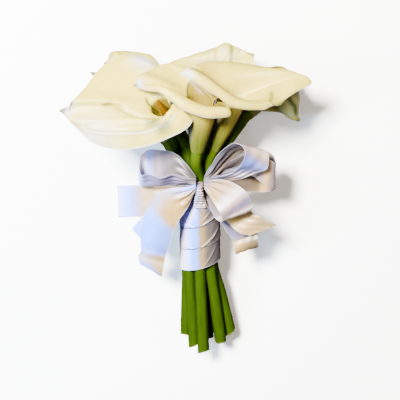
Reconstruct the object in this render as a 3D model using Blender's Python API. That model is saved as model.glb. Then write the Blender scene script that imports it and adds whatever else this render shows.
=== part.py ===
"""Bridal bouquet of calla lilies with a satin ribbon bow, lying on its back.

Eight callas (spathe, spadix and stem each), a ribbon wound round the stems
and a bow of five loops and four tails. Every length below is in millimetres
and the meshes are made in metres.

Bouquet frame: X to the right, Y along the stems up to the blooms, Z towards
the viewer, origin in the middle of the bundle at the bow. The finished
bouquet is laid on its back, so Z of that frame points nearly up.
"""
from math import cos, pi, radians, sin

import bpy
import numpy as np

# Sizes
STEP = 1.2               # one step of the as-seen places below
VIEW_TILT = 18.0         # the as-seen places look down on the blooms by this
VIEW_DISTANCE = 1100.0
VIEW_DROP = 24.0
SPATHE_THICKNESS = 1.2
STEM_RADIUS = 6.7
STEM_FOOT = 7.4          # a little thicker where they are cut
STEM_NECK = 3.3          # the stem's end inside the spathe
STEM_RING = 16.2         # seven stems stand round one at the binding
SPADIX_RADIUS = 4.9
WRAP_RADIUS = 24.4
WRAP_WALL = 1.0
WRAP_TOP = 3.0
WRAP_BOTTOM = -105.0
WRAP_SLOPE = 0.25        # the turns climb to the right
RIBBON_THICKNESS = 0.7
GAP = 0.35               # between pieces that touch
BASE_RING = 7.2          # radius of a spathe's foot
TUBE_BELLY = 5.0         # how far its tube swells out

# How the bouquet lies: on two blooms of its far side and one stem's foot
PITCH = 14.535
ROLL = 1.127
SHIFT = (10.474, 26.011, 73.911)

# Colours
CREAM = (0.86, 0.80, 0.62)
GREEN = (0.13, 0.24, 0.03)
YELLOW = (0.80, 0.42, 0.03)
SATIN = (0.80, 0.78, 0.82)

LEFT = (-1.0, 0.0, 0.0)
RIGHT = (1.0, 0.0, 0.0)

# Blooms. base, throat: steps right, steps up, mm forward. Each rim row is
# angle round the bloom, steps right, steps up, mm forward, then how far the
# limb has opened, how far its edge rolls on, and the length of that roll.
# The two margins lap each other at 180.
BLOOMS = {
    "left": dict(
        base=(-22, 50, 14), throat=(-39, 74, 42), apex=LEFT, throat_radius=13.0, spadix=54.0, lap=170.0,
        fold=0.3, channel=7.0, ripple=1.5, stem_turn=141.4, foot=(-7.4, -211.0, 14.5),
        rim=((-180, -24, 79, 38, 75, 80, 10), (-150, -32, 99, 12, 70, 70, 14),
             (-120, -51, 115, 4, 60, 50, 12), (-95, -68, 120, 4, 50, 50, 12),
             (-72, -85, 116, 9, 48, 40, 8), (-52, -99, 106, 18, 55, 40, 8),
             (-36, -110, 92, 30, 62, 40, 6), (-22, -120, 82, 42, 70, 40, 5), (-7, -131, 77, 50, 80, 30, 5),
             (0, -136, 73, 54, 80, 60, 7), (7, -132, 66, 55, 80, 50, 6),
             (26, -117, 56, 59, 78, 55, 10), (46, -100, 49, 66, 70, 66, 17),
             (72, -78, 47, 69, 68, 68, 19), (100, -56, 49, 67, 68, 68, 18),
             (125, -38, 56, 64, 72, 70, 16), (148, -21, 64, 59, 80, 72, 14),
             (164, -17, 71, 52, 80, 80, 12))),
    "centre": dict(
        base=(-3, 29, 28), throat=(1.1, 79.2, 42), apex=LEFT, throat_radius=16.8, spadix=54.0, lap=172.0,
        channel=2.0, ripple=1.0, stem_turn=90.0, foot=(4.4, -216.0, 25.0),
        rim=((-180, 29, 83, 44.7, 80, 80, 8), (-150, 14, 83, 32, 70, 60, 6), (-132, 1, 92, 25, 65, 50, 5),
             (-110, -15, 109, 14, 60, 50, 6), (-80, -32, 113, 12, 60, 40, 6),
             (-50, -46, 108, 22, 70, 40, 6), (-25, -56, 104, 34, 85, 90, 9),
             (0, -58, 98, 44, 90, 120, 11), (25, -49, 95, 54, 90, 120, 9),
             (50, -37, 93, 62, 90, 120, 8), (75, -23, 85, 66, 90, 130, 10),
             (100, -8, 78, 68, 90, 130, 13), (125, 8, 74, 66, 90, 130, 14),
             (148, 24, 74, 60, 90, 120, 12), (164, 29, 74, 54, 85, 110, 9))),
    "right": dict(
        base=(13, 30, 9), throat=(33, 80, 15), apex=RIGHT, throat_radius=15.0, spadix=50.0, lap=198.0,
        channel=3.0, ripple=1.2, stem_turn=38.6, foot=(26.0, -207.0, 12.0),
        rim=((-180, -7, 114, 34, 70, 70, 10), (-160, -11, 111, 50, 85, 100, 14),
             (-148, -9, 109, 56, 90, 120, 14), (-132, -2, 105, 59, 90, 140, 12),
             (-116, 9, 98, 60, 90, 150, 12), (-98, 22, 89, 60, 90, 150, 13),
             (-78, 37, 80, 58, 90, 150, 14), (-58, 53, 77, 54, 90, 140, 12),
             (-42, 62, 77, 49, 90, 110, 9), (-26, 68, 78, 44, 90, 80, 6),
             (-10, 72, 78, 38, 90, 60, 5), (0, 75, 79, 35, 90, 60, 5),
             (8, 83, 84, 28, 90, 60, 5), (18, 95, 92, 18, 90, 60, 5),
             (28, 107, 99, 10, 85, 50, 6), (38, 101, 104, 7, 60, 60, 11),
             (54, 84, 106, 6, 35, 75, 19), (80, 62, 107, 4, 30, 80, 22),
             (110, 36, 107, 4, 30, 80, 22), (140, 14, 109, 8, 40, 75, 17),
             (160, 2, 112, 18, 60, 65, 11))),
    "top": dict(
        base=(5, 62, -24), throat=(5, 98, -32), apex=RIGHT, throat_radius=14.0, spadix=40.0, lap=198.0,
        channel=2.0, ripple=1.2, stem_turn=None, foot=(10.0, -208.0, 4.0),
        rim=((-180, -34, 110, -30, 65, 50, 8), (-150, -26, 108, -14, 80, 60, 8),
             (-100, 0, 102, -14, 90, 60, 8), (-50, 34, 106, -25, 90, 60, 8),
             (-24, 49, 115, -31, 95, 60, 6), (-6, 49, 124, -34, 90, 70, 6), (8, 43, 130, -38, 85, 60, 5),
             (22, 34, 133, -44, 75, 50, 5), (32, 26, 137, -48, 70, 50, 5),
             (50, 18, 134, -51, 70, 50, 6), (75, 8, 130, -52, 70, 50, 6), (110, -10, 125, -50, 70, 50, 6),
             (140, -24, 119, -46, 70, 50, 6), (160, -32, 114, -38, 65, 50, 8))),
    "back_left": dict(
        base=(-36, 56, -18), throat=(-56, 90, -24), apex=LEFT, throat_radius=13.0, spadix=40.0, lap=174.0,
        channel=2.0, ripple=1.2, stem_turn=192.9, foot=(-17.6, -204.0, 2.5),
        rim=((-180, -36, 100, -34, 60, 50, 8), (-150, -46, 116, -46, 70, 60, 8),
             (-100, -64, 125, -50, 70, 50, 8), (-60, -80, 128, -46, 60, 60, 6),
             (-40, -86, 128, -44, 70, 60, 6), (-14, -89, 124, -40, 70, 60, 6),
             (0, -91, 121, -38, 80, 100, 8), (20, -94, 112, -32, 80, 60, 6),
             (45, -94, 100, -18, 90, 60, 8), (70, -80, 94, -6, 90, 60, 8),
             (105, -60, 90, -3, 90, 60, 8), (150, -40, 92, -10, 80, 60, 8))),
    "low_left": dict(
        base=(-33, 38, -45), throat=(-53, 70, -63), apex=(-0.83, 0.55, 0.05), throat_radius=12.0,
        spadix=36.0, lap=198.0, channel=3.0, ripple=1.5, stem_turn=244.3, foot=(-4.0, -206.0, -16.0),
        scale=0.8, tip=((35, 48), (41, 74), (43.5, 89))),
    "low_right": dict(
        base=(47, 65, -25), throat=(62, 84, -57), apex=(0.75, -0.45, 0.6), throat_radius=12.0,
        spadix=36.0, lap=198.0, channel=3.0, ripple=1.5, stem_turn=347.1, foot=(38.0, -199.0, 1.5),
        scale=0.9, tip=((44, 12), (51, -4), (54, -12))),
    "back": dict(
        base=(3, 33, -37), throat=(6, 54, -54), apex=LEFT, throat_radius=10.0,
        spadix=32.0, lap=190.0, channel=3.0, ripple=1.5, stem_turn=295.7, foot=(22.0, -205.0, -9.0),
        scale=0.65, tip=((40, 34), (46, 42), (49, 45))),
}

# Rim of the three blooms on the far side: angle, reach from the tube's axis,
# height over the throat, then opening, roll and roll length as above.
FAR_RIM = ((-180, 24, 10, 80, 60, 6), (-150, 26, 12, 85, 80, 9), (-100, 31, 18, 85, 80, 10),
           (-60, 36, 28, 80, 60, 9), (-30, 42, 40, 75, 50, 7), (-10, 47, 50, 75, 40, 6),
           (0, 50, 54, 75, 60, 7), (10, 47, 50, 75, 40, 6), (30, 42, 40, 75, 50, 7),
           (60, 36, 28, 80, 60, 9), (100, 31, 18, 85, 80, 10), (150, 26, 12, 85, 80, 9))

# Ribbon strips. Each row is one edge, then the other edge, in the same steps.
STRIPS = {
    "loop_upper_left": (
        ((-4.15, 3, 31), (-4.15, -4, 31)), ((-12, 14, 30), (-12, -4, 30)),
        ((-24, 26, 25), (-22, -4.5, 25)), ((-40, 30, 22), (-38, -4.5, 25)),
        ((-54, 29, 24), (-54, -4, 25)), ((-60, 22, 34), (-61.5, -4, 25)),
        ((-61, 12, 47), (-61, -5, 27)), ((-59, 5, 56), (-58, -6, 29)),
        ((-52, 6, 60), (-50, -6, 31)), ((-40, 2, 60), (-40, -6, 31)),
        ((-28, 6, 58), (-28, -4.5, 33)), ((-16, 3, 50), (-16, -3.5, 36)),
        ((-4.15, 1, 42), (-4.15, -5, 42))),
    "loop_lower_left": (
        ((-4.4, 0, 27), (-4.4, -7, 27)), ((-12, -3.5, 23), (-12, -13, 23)),
        ((-24, -4.5, 9), (-24, -24, 9)), ((-45, -5.5, 0), (-45, -34, 0)),
        ((-70, -6, 2), (-70, -37, 2)), ((-81, -7, 8), (-81, -37, 8)),
        ((-82.5, -6, 13), (-81, -36.5, 13)), ((-72, -5.3, 17), (-70, -37, 18)),
        ((-55, -5.3, 17), (-53, -35, 19)), ((-35, -5.5, 20), (-33, -30, 22)),
        ((-18, -5, 26.5), (-16, -20, 27)), ((-4.4, -4.6, 34), (-4.4, -9, 34))),
    "tail_left": (
        ((-4.3, -5, 38), (-4.3, -11, 38)), ((-15, -7.5, 39), (-8.5, -20, 38)),
        ((-30, -8.5, 40), (-13, -29, 37)), ((-42, -13, 42), (-18, -36, 38)),
        ((-50, -23, 44), (-23, -43, 40)), ((-56, -35, 44), (-26.5, -51, 42)),
        ((-59, -47, 42), (-29, -60, 42)), ((-59.5, -60, 38), (-32.5, -70, 40)),
        ((-59, -70, 32), (-35, -78, 34)), ((-61.5, -76, 25), (-36, -84, 27)),
        ((-60, -84, 19), (-38, -97, 19))),
    "tail_left_rear": (
        ((-3.9, -13, 26), (-3.9, -18, 26)), ((-13, -18, 23.5), (-9.5, -28, 24.8)),
        ((-33, -22.5, 15), (-19.5, -38, 17)), ((-48, -29, 12), (-31, -50, 14)),
        ((-59, -39, 11), (-42, -61, 12)), ((-68, -49, 11), (-52, -67, 12))),
    "loop_upper_right": (
        ((4.15, 3, 35), (4.15, -4, 34)), ((11, 13, 40), (18, 7, 27)),
        ((18, 24, 43), (33, 21, 24)), ((26, 32.5, 45), (50, 31, 23)),
        ((35, 37, 46), (62, 31, 25)), ((42, 34, 50), (68, 26.5, 26)),
        ((45, 27, 53), (68.5, 18, 28)), ((43, 18, 54), (66.5, 11, 31)),
        ((36, 10.5, 52), (56, 7.5, 33)), ((26, 5.5, 50), (41, 2, 35)),
        ((15, 4, 46), (25, 0, 38)), ((4.15, 1, 42), (4.15, -4.5, 40))),
    "loop_rear_right": (
        ((4.15, 2, 26.2), (4.15, -5, 26.2)), ((16, 10, 18), (16, -6, 18)),
        ((32, 20, 8), (30, -8, 8)), ((50, 28, 2), (48, -12, 2)),
        ((65, 30, 2), (64, -12, 0)), ((74, 23, 8), (74, -10, 6)),
        ((76, 16, 14), (75, -8, 13)), ((72, 19, 19), (69, -11, 18)),
        ((64, 22, 20), (63, -4, 19)), ((52, 18, 20), (52, 4, 20)),
        ((36, 13, 21), (36, 4, 21)), ((20, 8, 23), (20, 1, 23)),
        ((4.15, 1.5, 28.5), (4.15, -4, 28.5))),
    "loop_lower_right": (
        ((4.35, -8, 46), (4.35, -2, 47)), ((9, -15, 50), (15, 0.5, 52)),
        ((13, -22, 52), (28, -1, 54)), ((17, -28, 53), (39, -6, 55)),
        ((20, -33, 52), (47, -13, 54)), ((22, -38, 48), (50.5, -21, 50)),
        ((22, -41, 43), (52.5, -28.5, 45)), ((20.5, -42, 37), (51, -31, 38)),
        ((16, -39, 33), (46, -27, 33)), ((11.5, -31, 32), (38, -19, 31)),
        ((7.8, -22, 31.5), (26, -11, 31)), ((4.35, -15, 31), (4.35, -9, 31))),
    "tail_right": (
        ((4.05, -17, 26.5), (4.05, -10, 26.5)), ((13, -24, 24.5), (22, -9, 23)),
        ((22, -36, 22), (41, -18, 22)), ((31, -46, 21), (52, -32, 23)),
        ((40, -53, 24), (63, -38, 27)), ((50, -55.5, 26), (77, -45, 30))),
    "tail_right_rear": (
        ((4.5, -25, 26.2), (4.5, -20, 26.2)), ((13, -33, 23.5), (23, -23, 18)),
        ((21, -43, 16), (42, -29, 14)), ((27, -53, 11), (51, -39, 11)),
        ((33, -61, 8), (57, -52, 8)), ((36, -70, 10), (57, -65, 10)),
        ((36, -74, 17), (58, -67, 17)), ((34, -68, 24), (58, -59, 24)),
        ((33.5, -62, 22), (57, -54, 21))),
}


def smooth(t):
    """Rises from 0 to 1 with level ends."""
    t = np.clip(t, 0.0, 1.0)
    return t * t * (3.0 - 2.0 * t)


def seen(right, up, forward):
    """Place in the bouquet frame, mm, of a point seen that many steps right of
    and above the bow, and standing forward mm towards the viewer."""
    tilt = radians(VIEW_TILT)
    height = up * STEP + VIEW_DROP
    y = ((height * (1.0 - forward * cos(tilt) / VIEW_DISTANCE) - VIEW_DROP + forward * sin(tilt))
         / (cos(tilt) + height * sin(tilt) / VIEW_DISTANCE))
    depth = forward * cos(tilt) + y * sin(tilt)
    return np.array([right * STEP * (1.0 - depth / VIEW_DISTANCE), y, forward])


def curve(keys, values, t):
    """Smooth curve through the values at the keys."""
    keys = np.asarray(keys, float)
    values = np.asarray(values, float)
    gaps = np.diff(keys)
    slopes = np.diff(values, axis=0) / gaps[:, None]
    tangents = np.concatenate([slopes[:1], slopes[:1].repeat(len(keys) - 2, 0), slopes[-1:]])
    share = (gaps[1:] / (gaps[1:] + gaps[:-1]))[:, None]
    tangents[1:-1] = slopes[:-1] * share + slopes[1:] * (1.0 - share)
    i = np.clip(np.searchsorted(keys, t, side="right") - 1, 0, len(keys) - 2)
    h = gaps[i][:, None]
    u = (t - keys[i])[:, None] / h
    return ((2 * u**3 - 3 * u**2 + 1) * values[i] + (u**3 - 2 * u**2 + u) * h * tangents[i]
            + (3 * u**2 - 2 * u**3) * values[i + 1] + (u**3 - u**2) * h * tangents[i + 1])


def unit(v):
    """Vectors of length one along the last axis."""
    return v / np.maximum(np.linalg.norm(v, axis=-1, keepdims=True), 1e-9)


def bloom_frame(bloom):
    """Base place, tube length and three directions: apex side, left side, up the tube."""
    base = seen(*bloom["base"])
    axis = seen(*bloom["throat"]) - base
    up = unit(axis)
    apex = np.array(bloom["apex"])
    apex = unit(apex - up * (apex @ up))
    return base, float(np.linalg.norm(axis)), apex, np.cross(up, apex), up


def rim_rows(bloom):
    """The rim as rows of angle, place, opening, roll and roll length."""
    if "rim" in bloom:
        return np.array([(r[0], *seen(*r[1:4]), *r[4:]) for r in bloom["rim"]], float)
    base, length, apex, side, up = bloom_frame(bloom)
    size = bloom["scale"]
    rows = []
    for turn, reach, height, opened, rolled, roll in FAR_RIM:
        if abs(turn) <= 30:
            reach, height = bloom["tip"][(30, 10, 0).index(abs(turn))]
        out = cos(radians(turn)) * apex + sin(radians(turn)) * side
        place = base + (length + size * height) * up + size * reach * out
        rows.append((turn, *place, opened, rolled, size * roll))
    return np.array(rows, float)


def spathe_grid(bloom, tube_rows, limb_rows, roll_rows, columns):
    """Outer face of a spathe: a cone wound a little more than once round the
    spadix, opening into a limb that ends in a rolled edge. Both margins run
    down into the throat, one outside the other."""
    base, length, apex, side, up = bloom_frame(bloom)
    rim = rim_rows(bloom)
    whole = np.zeros_like(rim[:2])
    whole[:, 0] = 360.0
    rim = np.concatenate([rim[-2:] - whole, rim, rim[:2] + whole])
    turn = np.linspace(-bloom["lap"], bloom["lap"], columns)
    row = curve(rim[:, 0], rim[:, 1:], (turn + 180.0) % 360.0 - 180.0)
    angle = np.radians(turn)
    lap = (angle / pi)[:, None]
    dip = smooth((np.abs(turn) - 152.0) / 46.0)[:, None]
    edge = row[:, :3]
    radial = np.cos(angle)[:, None] * apex + np.sin(angle)[:, None] * side
    low = base + BASE_RING * radial
    throat = base + length * up + bloom["throat_radius"] * radial
    u = np.linspace(0.0, 1.0, tube_rows)[:, None, None]
    tube = (1 - u) * low + u * throat + TUBE_BELLY * u * (1 - u) * radial
    tube = tube + (0.8 + 2.0 * smooth(u)) * lap * radial
    throat = throat + 2.8 * lap * radial
    out = edge - base
    out = unit(out - (out @ up)[:, None] * up)
    start = cos(radians(12.0)) * up + sin(radians(12.0)) * radial
    opened = np.radians(row[:, 3])[:, None]
    finish = np.cos(opened) * up + np.sin(opened) * out
    edge = edge + 2.8 * lap * unit(np.cross(finish, np.cross(out, up)))
    reach = np.linalg.norm(edge - throat, axis=1)[:, None]
    u = np.linspace(0.0, 1.0, limb_rows)[1:, None, None] * (1.0 - 0.85 * dip)
    limb = ((2 * u**3 - 3 * u**2 + 1) * throat + (u**3 - 2 * u**2 + u) * (0.3 * reach * start)
            + (3 * u**2 - 2 * u**3) * edge + (u**3 - u**2) * (0.9 * reach * finish))
    last = unit(limb[-1] - limb[-2])
    opened = np.arctan2((last * out).sum(-1), last @ up)[:, None]
    v = ((np.arange(roll_rows) + 0.5) / roll_rows)[:, None, None]
    heading = opened + np.radians(row[:, 4])[:, None] * (1.0 - dip) * v ** bloom.get("fold", 1.0)
    roll = np.maximum(row[:, 5][:, None] * (1.0 - dip), 1.0) / roll_rows
    margin = limb[-1] + np.cumsum((np.cos(heading) * up + np.sin(heading) * out) * roll, axis=0)
    points = np.concatenate([tube, limb, margin])
    along = np.linspace(0.0, 1.0, len(points))[:, None]
    groove = bloom["channel"] * np.exp(-(turn / 13.0) ** 2) * smooth((along - 0.3) / 0.4)
    groove = groove * (1.0 - 0.6 * smooth((along - 0.75) / 0.25))
    wave = 0.6 * np.sin(4 * angle) + 0.4 * np.sin(6.8 * angle + 1.3)
    wave = bloom["ripple"] * wave * (1.0 - dip[:, 0]) * along**4
    return points + grid_normals(points) * (groove + wave)[..., None]


def grid_normals(points):
    """Unit normals of an open grid, to the outer side of a spathe."""
    return unit(np.cross(np.gradient(points, axis=1), np.gradient(points, axis=0)))


def sheet_solid(points, thickness, offset=0.5):
    """Closed solid from an open grid: two faces and a rim, split alike into triangles."""
    rows, columns = points.shape[:2]
    normal = grid_normals(points)
    front = points + normal * thickness * offset
    back = points - normal * thickness * (1.0 - offset)
    index = np.arange(rows * columns).reshape(rows, columns)
    a, b, c, d = index[:-1, :-1], index[1:, :-1], index[1:, 1:], index[:-1, 1:]
    tris = np.concatenate([np.stack([a, c, b], -1).reshape(-1, 3), np.stack([a, d, c], -1).reshape(-1, 3)])
    count = rows * columns
    loop = np.concatenate([index[0, :], index[1:, -1], index[-1, -2::-1], index[-2:0:-1, 0]])
    after = np.roll(loop, -1)
    walls = np.concatenate([np.stack([after, loop, loop + count], -1),
                            np.stack([after, loop + count, after + count], -1)])
    faces = np.concatenate([tris, tris[:, ::-1] + count, walls])
    return np.concatenate([front.reshape(-1, 3), back.reshape(-1, 3)]), faces


def round_solid(rings):
    """Closed solid from rings of points, with a middle point on each end."""
    count, sides = rings.shape[:2]
    index = np.arange(count * sides).reshape(count, sides)
    nxt = np.roll(index, -1, axis=1)
    a, b, c, d = index[:-1], nxt[:-1], nxt[1:], index[1:]
    low = count * sides
    faces = np.concatenate([
        np.stack([a, b, c], -1).reshape(-1, 3), np.stack([a, c, d], -1).reshape(-1, 3),
        np.stack([nxt[0], index[0], np.full(sides, low)], -1),
        np.stack([index[-1], nxt[-1], np.full(sides, low + 1)], -1)])
    ends = np.stack([rings[0].mean(0), rings[-1].mean(0)])
    return np.concatenate([rings.reshape(-1, 3), ends]), faces


def tube_rings(path, radii, sides):
    """Rings of the given radii round a path."""
    along = unit(np.gradient(path, axis=0))
    across = unit(np.cross(along, np.array([0.0, 0.0, 1.0]) + 0.0 * along))
    over = np.cross(across, along)
    turn = np.arange(sides) * 2 * pi / sides
    ring = np.cos(turn)[None, :, None] * across[:, None] + np.sin(turn)[None, :, None] * over[:, None]
    return path[:, None] + np.asarray(radii)[:, None, None] * ring


def stem_path(bloom, bends):
    """Middle line of a stem from its cut foot through the binding to the bloom."""
    base, length, apex, side, up = bloom_frame(bloom)
    if bloom["stem_turn"] is None:
        ring = np.array([0.85, 0.7])
    else:
        turn = radians(bloom["stem_turn"])
        ring = STEM_RING * np.array([cos(turn), sin(turn)])
    bound = [np.array([ring[0], y, ring[1]]) for y in (-106.0, -98.0, -50.0, -3.0, 5.0)]
    before = base - up * 16.0
    foot = np.array(bloom["foot"])
    points = np.stack([foot, 0.45 * foot + 0.55 * bound[0], *bound, before, base])
    keys = np.concatenate([[0.0], np.cumsum(np.linalg.norm(np.diff(points, axis=0), axis=1))])
    bend = keys[6] + (keys[7] - keys[6]) * np.linspace(0.0, 1.0, bends + 2)
    stops = np.concatenate([keys[:3], keys[5:6], bend, keys[8:]])
    return curve(keys, points, stops), up


def stem_solid(bloom, bends=3, sides=10):
    """A stem with a cut foot and a narrow end that stands inside the spathe."""
    path, up = stem_path(bloom, bends)
    path = np.concatenate([path[:-1], [path[-1] - up * 0.45, path[-1] - up * 0.1, path[-1] + up * 5.0]])
    radii = np.full(len(path), STEM_RADIUS)
    radii[:2] = STEM_FOOT, 0.5 * (STEM_FOOT + STEM_RADIUS)
    radii[-3] = STEM_RADIUS
    radii[-2] = STEM_NECK
    radii[-1] = STEM_NECK - 0.3
    return round_solid(tube_rings(path, radii, sides))


def spadix_solid(bloom, count=8, sides=8):
    """The finger shaped spadix in the middle of the spathe."""
    base, length, apex, side, up = bloom_frame(bloom)
    u = np.linspace(0.0, 1.0, count)
    radii = SPADIX_RADIUS * np.sqrt(np.clip(1.0 - u**3.2, 0.0, 1.0)) * (0.62 + 0.38 * smooth(u / 0.3))
    radii[-1] = 0.9
    start = 5.0 + GAP
    path = base + up * (start + bloom["spadix"] * u[:, None])
    return round_solid(tube_rings(path, radii, sides))


def strip_grid(rows, count, columns, crown=0.0):
    """Ribbon between two edges given row by row."""
    edges = np.array([np.concatenate([seen(*a), seen(*b)]) for a, b in rows])
    middle = 0.5 * (edges[:, :3] + edges[:, 3:])
    keys = np.concatenate([[0.0], np.cumsum(np.linalg.norm(np.diff(middle, axis=0), axis=1))])
    fine = curve(keys, edges, np.linspace(0.0, keys[-1], count))
    v = np.linspace(0.0, 1.0, columns)[None, :, None]
    return fine[:, None, :3] * (1 - v) + fine[:, None, 3:] * v


def wrap_solid(turns=28, rows=14):
    """The sleeve of ribbon wound round the stems, each turn lapping the next."""
    v = np.linspace(0.0, 1.0, rows)
    turn = np.arange(turns) * 2 * pi / turns
    laps = ((0.0, 0.0), (0.485, 1.0), (0.50, 0.0), (0.735, 1.0), (0.75, 0.0), (1.0, 1.0))
    lift = np.interp(v, [a for a, b in laps], [b for a, b in laps])
    radius = WRAP_RADIUS + 0.9 * lift
    slope = WRAP_SLOPE * smooth(v / 0.4)
    across = np.cos(turn)[None, :] * radius[:, None]
    over = np.sin(turn)[None, :] * radius[:, None]
    length = WRAP_TOP + (WRAP_BOTTOM - WRAP_TOP) * v[:, None] + slope[:, None] * across
    outer = np.stack([across, length, over], -1)
    inside = WRAP_RADIUS - WRAP_WALL
    inner = np.stack([np.cos(turn) * inside + 0 * length, length, np.sin(turn) * inside + 0 * length], -1)
    rings = np.concatenate([outer, inner[::-1]])
    count = len(rings)
    index = np.arange(count * turns).reshape(count, turns)
    below = np.roll(index, -1, axis=0)
    a, b, c, d = index, np.roll(index, -1, axis=1), np.roll(below, -1, axis=1), below
    faces = np.concatenate([np.stack([a, b, c], -1).reshape(-1, 3), np.stack([a, c, d], -1).reshape(-1, 3)])
    return rings.reshape(-1, 3), faces


def tie_solid(rows=12, sides=12):
    """The gathered middle of the bow, narrow at the top and puckered down the front."""
    u = np.linspace(0.0, 1.0, rows)
    y = 5.0 - 30.0 * u
    half = 4.5 + 0.6 * smooth(u / 0.9)
    front = 48.0 - 16.0 * smooth((u - 0.35) / 0.65)
    back = WRAP_RADIUS + 0.4 + 0.45 * u
    turn = np.arange(sides) * 2 * pi / sides
    square = np.sign(np.cos(turn)) * np.abs(np.cos(turn)) ** 0.4
    round_ = np.sign(np.sin(turn)) * np.abs(np.sin(turn)) ** 0.4
    pucker = 1.0 + 0.03 * np.cos(pi * np.arange(rows))
    x = (half * pucker)[:, None] * square[None, :]
    z = 0.5 * (front + back)[:, None] + 0.5 * (front - back)[:, None] * round_[None, :]
    return round_solid(np.stack([x, y[:, None] + 0 * x, z], -1))


def lay(points):
    """From the bouquet frame to the laid down bouquet, in metres."""
    p, r = radians(PITCH), radians(ROLL)
    x, y, z = points[:, 0], points[:, 1], points[:, 2]
    y, z = y * cos(p) - z * sin(p), y * sin(p) + z * cos(p)
    x, z = x * cos(r) + z * sin(r), z * cos(r) - x * sin(r)
    return (np.stack([x, y, z], -1) + np.array(SHIFT)) / 1000.0


def material(name, colour, roughness):
    """Plain Principled material."""
    m = bpy.data.materials.new(name)
    m.use_nodes = True
    node = m.node_tree.nodes["Principled BSDF"]
    node.inputs["Base Color"].default_value = (*colour, 1.0)
    node.inputs["Roughness"].default_value = roughness
    m.diffuse_color = (*colour, 1.0)
    return m


def add(name, solid, colour, roughness):
    """One named object with its own material, faces outward."""
    points, faces = solid
    points = lay(points)
    a, b, c = (points[faces[:, i]] for i in range(3))
    if np.einsum("ij,ij->i", a, np.cross(b, c)).sum() < 0.0:
        faces = faces[:, ::-1]
    mesh = bpy.data.meshes.new(name)
    mesh.from_pydata(points.tolist(), [], faces.tolist())
    mesh.materials.append(material(name + "_surface", colour, roughness))
    obj = bpy.data.objects.new(name, mesh)
    bpy.context.scene.collection.objects.link(obj)
    return obj


def main():
    for obj in list(bpy.data.objects):
        bpy.data.objects.remove(obj)
    for name, bloom in BLOOMS.items():
        grid = spathe_grid(bloom, 4, 8, 3, 20 if "scale" in bloom else 24)
        add("spathe_" + name, sheet_solid(grid, SPATHE_THICKNESS, 0.0), CREAM, 0.45)
        add("spadix_" + name, spadix_solid(bloom), YELLOW, 0.7)
        add("stem_" + name, stem_solid(bloom), GREEN, 0.45)
    for name, rows in STRIPS.items():
        grid = strip_grid(rows, 2 * len(rows), 4)
        add("bow_" + name, sheet_solid(grid, RIBBON_THICKNESS), SATIN, 0.3)
    add("ribbon_wrap", wrap_solid(), SATIN, 0.3)
    add("bow_tie", tie_solid(), SATIN, 0.3)


main()
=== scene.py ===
"""Bridal bouquet of calla lilies with a satin bow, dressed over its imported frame.

Eight spathes, spadices and stems, the ribbon wound round the stems and the
bow, each as a fine surface over its CAD node, with the same places and
formulas. Those are in millimetres in the bouquet frame: X to the right, Y
along the stems up to the blooms, Z towards the viewer, origin at the bow.
The bouquet lies on its back, so that Z of that frame points nearly up.
"""
from math import cos, pi, radians, sin

import bpy
import numpy as np
from mathutils import Matrix, Vector


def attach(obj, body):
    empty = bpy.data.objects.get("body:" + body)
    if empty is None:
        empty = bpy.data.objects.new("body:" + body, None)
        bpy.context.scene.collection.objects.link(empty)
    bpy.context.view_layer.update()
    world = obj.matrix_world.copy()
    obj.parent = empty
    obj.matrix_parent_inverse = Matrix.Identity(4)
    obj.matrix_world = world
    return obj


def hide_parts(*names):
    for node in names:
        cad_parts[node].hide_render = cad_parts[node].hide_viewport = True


bl_info = {
    "name": "Calla lily bouquet",
    "version": (1, 0, 0),
    "blender": (4, 5, 0),
    "location": "View3D > Sidebar > Bouquet",
    "description": "Dresses the frame of a lying bridal bouquet with petals, stems and satin ribbon",
    "category": "Object",
}

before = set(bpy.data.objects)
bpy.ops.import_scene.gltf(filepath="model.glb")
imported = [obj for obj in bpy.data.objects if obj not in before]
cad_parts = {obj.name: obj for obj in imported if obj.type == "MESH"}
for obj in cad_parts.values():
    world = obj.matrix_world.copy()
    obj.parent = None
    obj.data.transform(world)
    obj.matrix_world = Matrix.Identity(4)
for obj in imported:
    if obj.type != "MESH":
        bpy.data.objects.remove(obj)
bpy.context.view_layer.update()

# Sizes shared with the frame's source, in mm
STEP = 1.2               # one step of the as-seen places below
VIEW_TILT = 18.0         # degrees that the view is tipped towards the blooms
VIEW_DISTANCE = 1100.0
VIEW_DROP = 24.0         # how far below the bow the view is centred
STEM_RADIUS = 6.7
STEM_FOOT = 7.4          # a little thicker where they are cut
STEM_RING = 16.2         # seven stems stand round one at the binding
MIDDLE_STEM = (0.85, 0.7)    # X and Z of that one
STEM_HEIGHTS = (-106.0, -98.0, -50.0, -3.0, 5.0)    # Y of a stem's points at the binding
STEM_LEAD = 16.0         # length below its bloom over which a stem runs straight at it
SPADIX_RADIUS = 4.9
SPADIX_FOOT = 5.0        # where it starts above the spathe's base
WRAP_RADIUS = 24.4
WRAP_WALL = 1.0
WRAP_TOP = 3.0
WRAP_BOTTOM = -105.0
WRAP_SLOPE = 0.25        # the turns climb to the right
GAP = 0.35               # between pieces that touch
BASE_RING = 7.2          # radius of a spathe's foot
TUBE_BELLY = 5.0         # how far its tube swells out

# The ribbon, in mm
RIBBON_WIDTH = 39.0
PLEATS = 3.0             # lengthwise pleats near the bow's middle
PLEAT_REACH = 32.0       # how far from there they fade out

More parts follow.
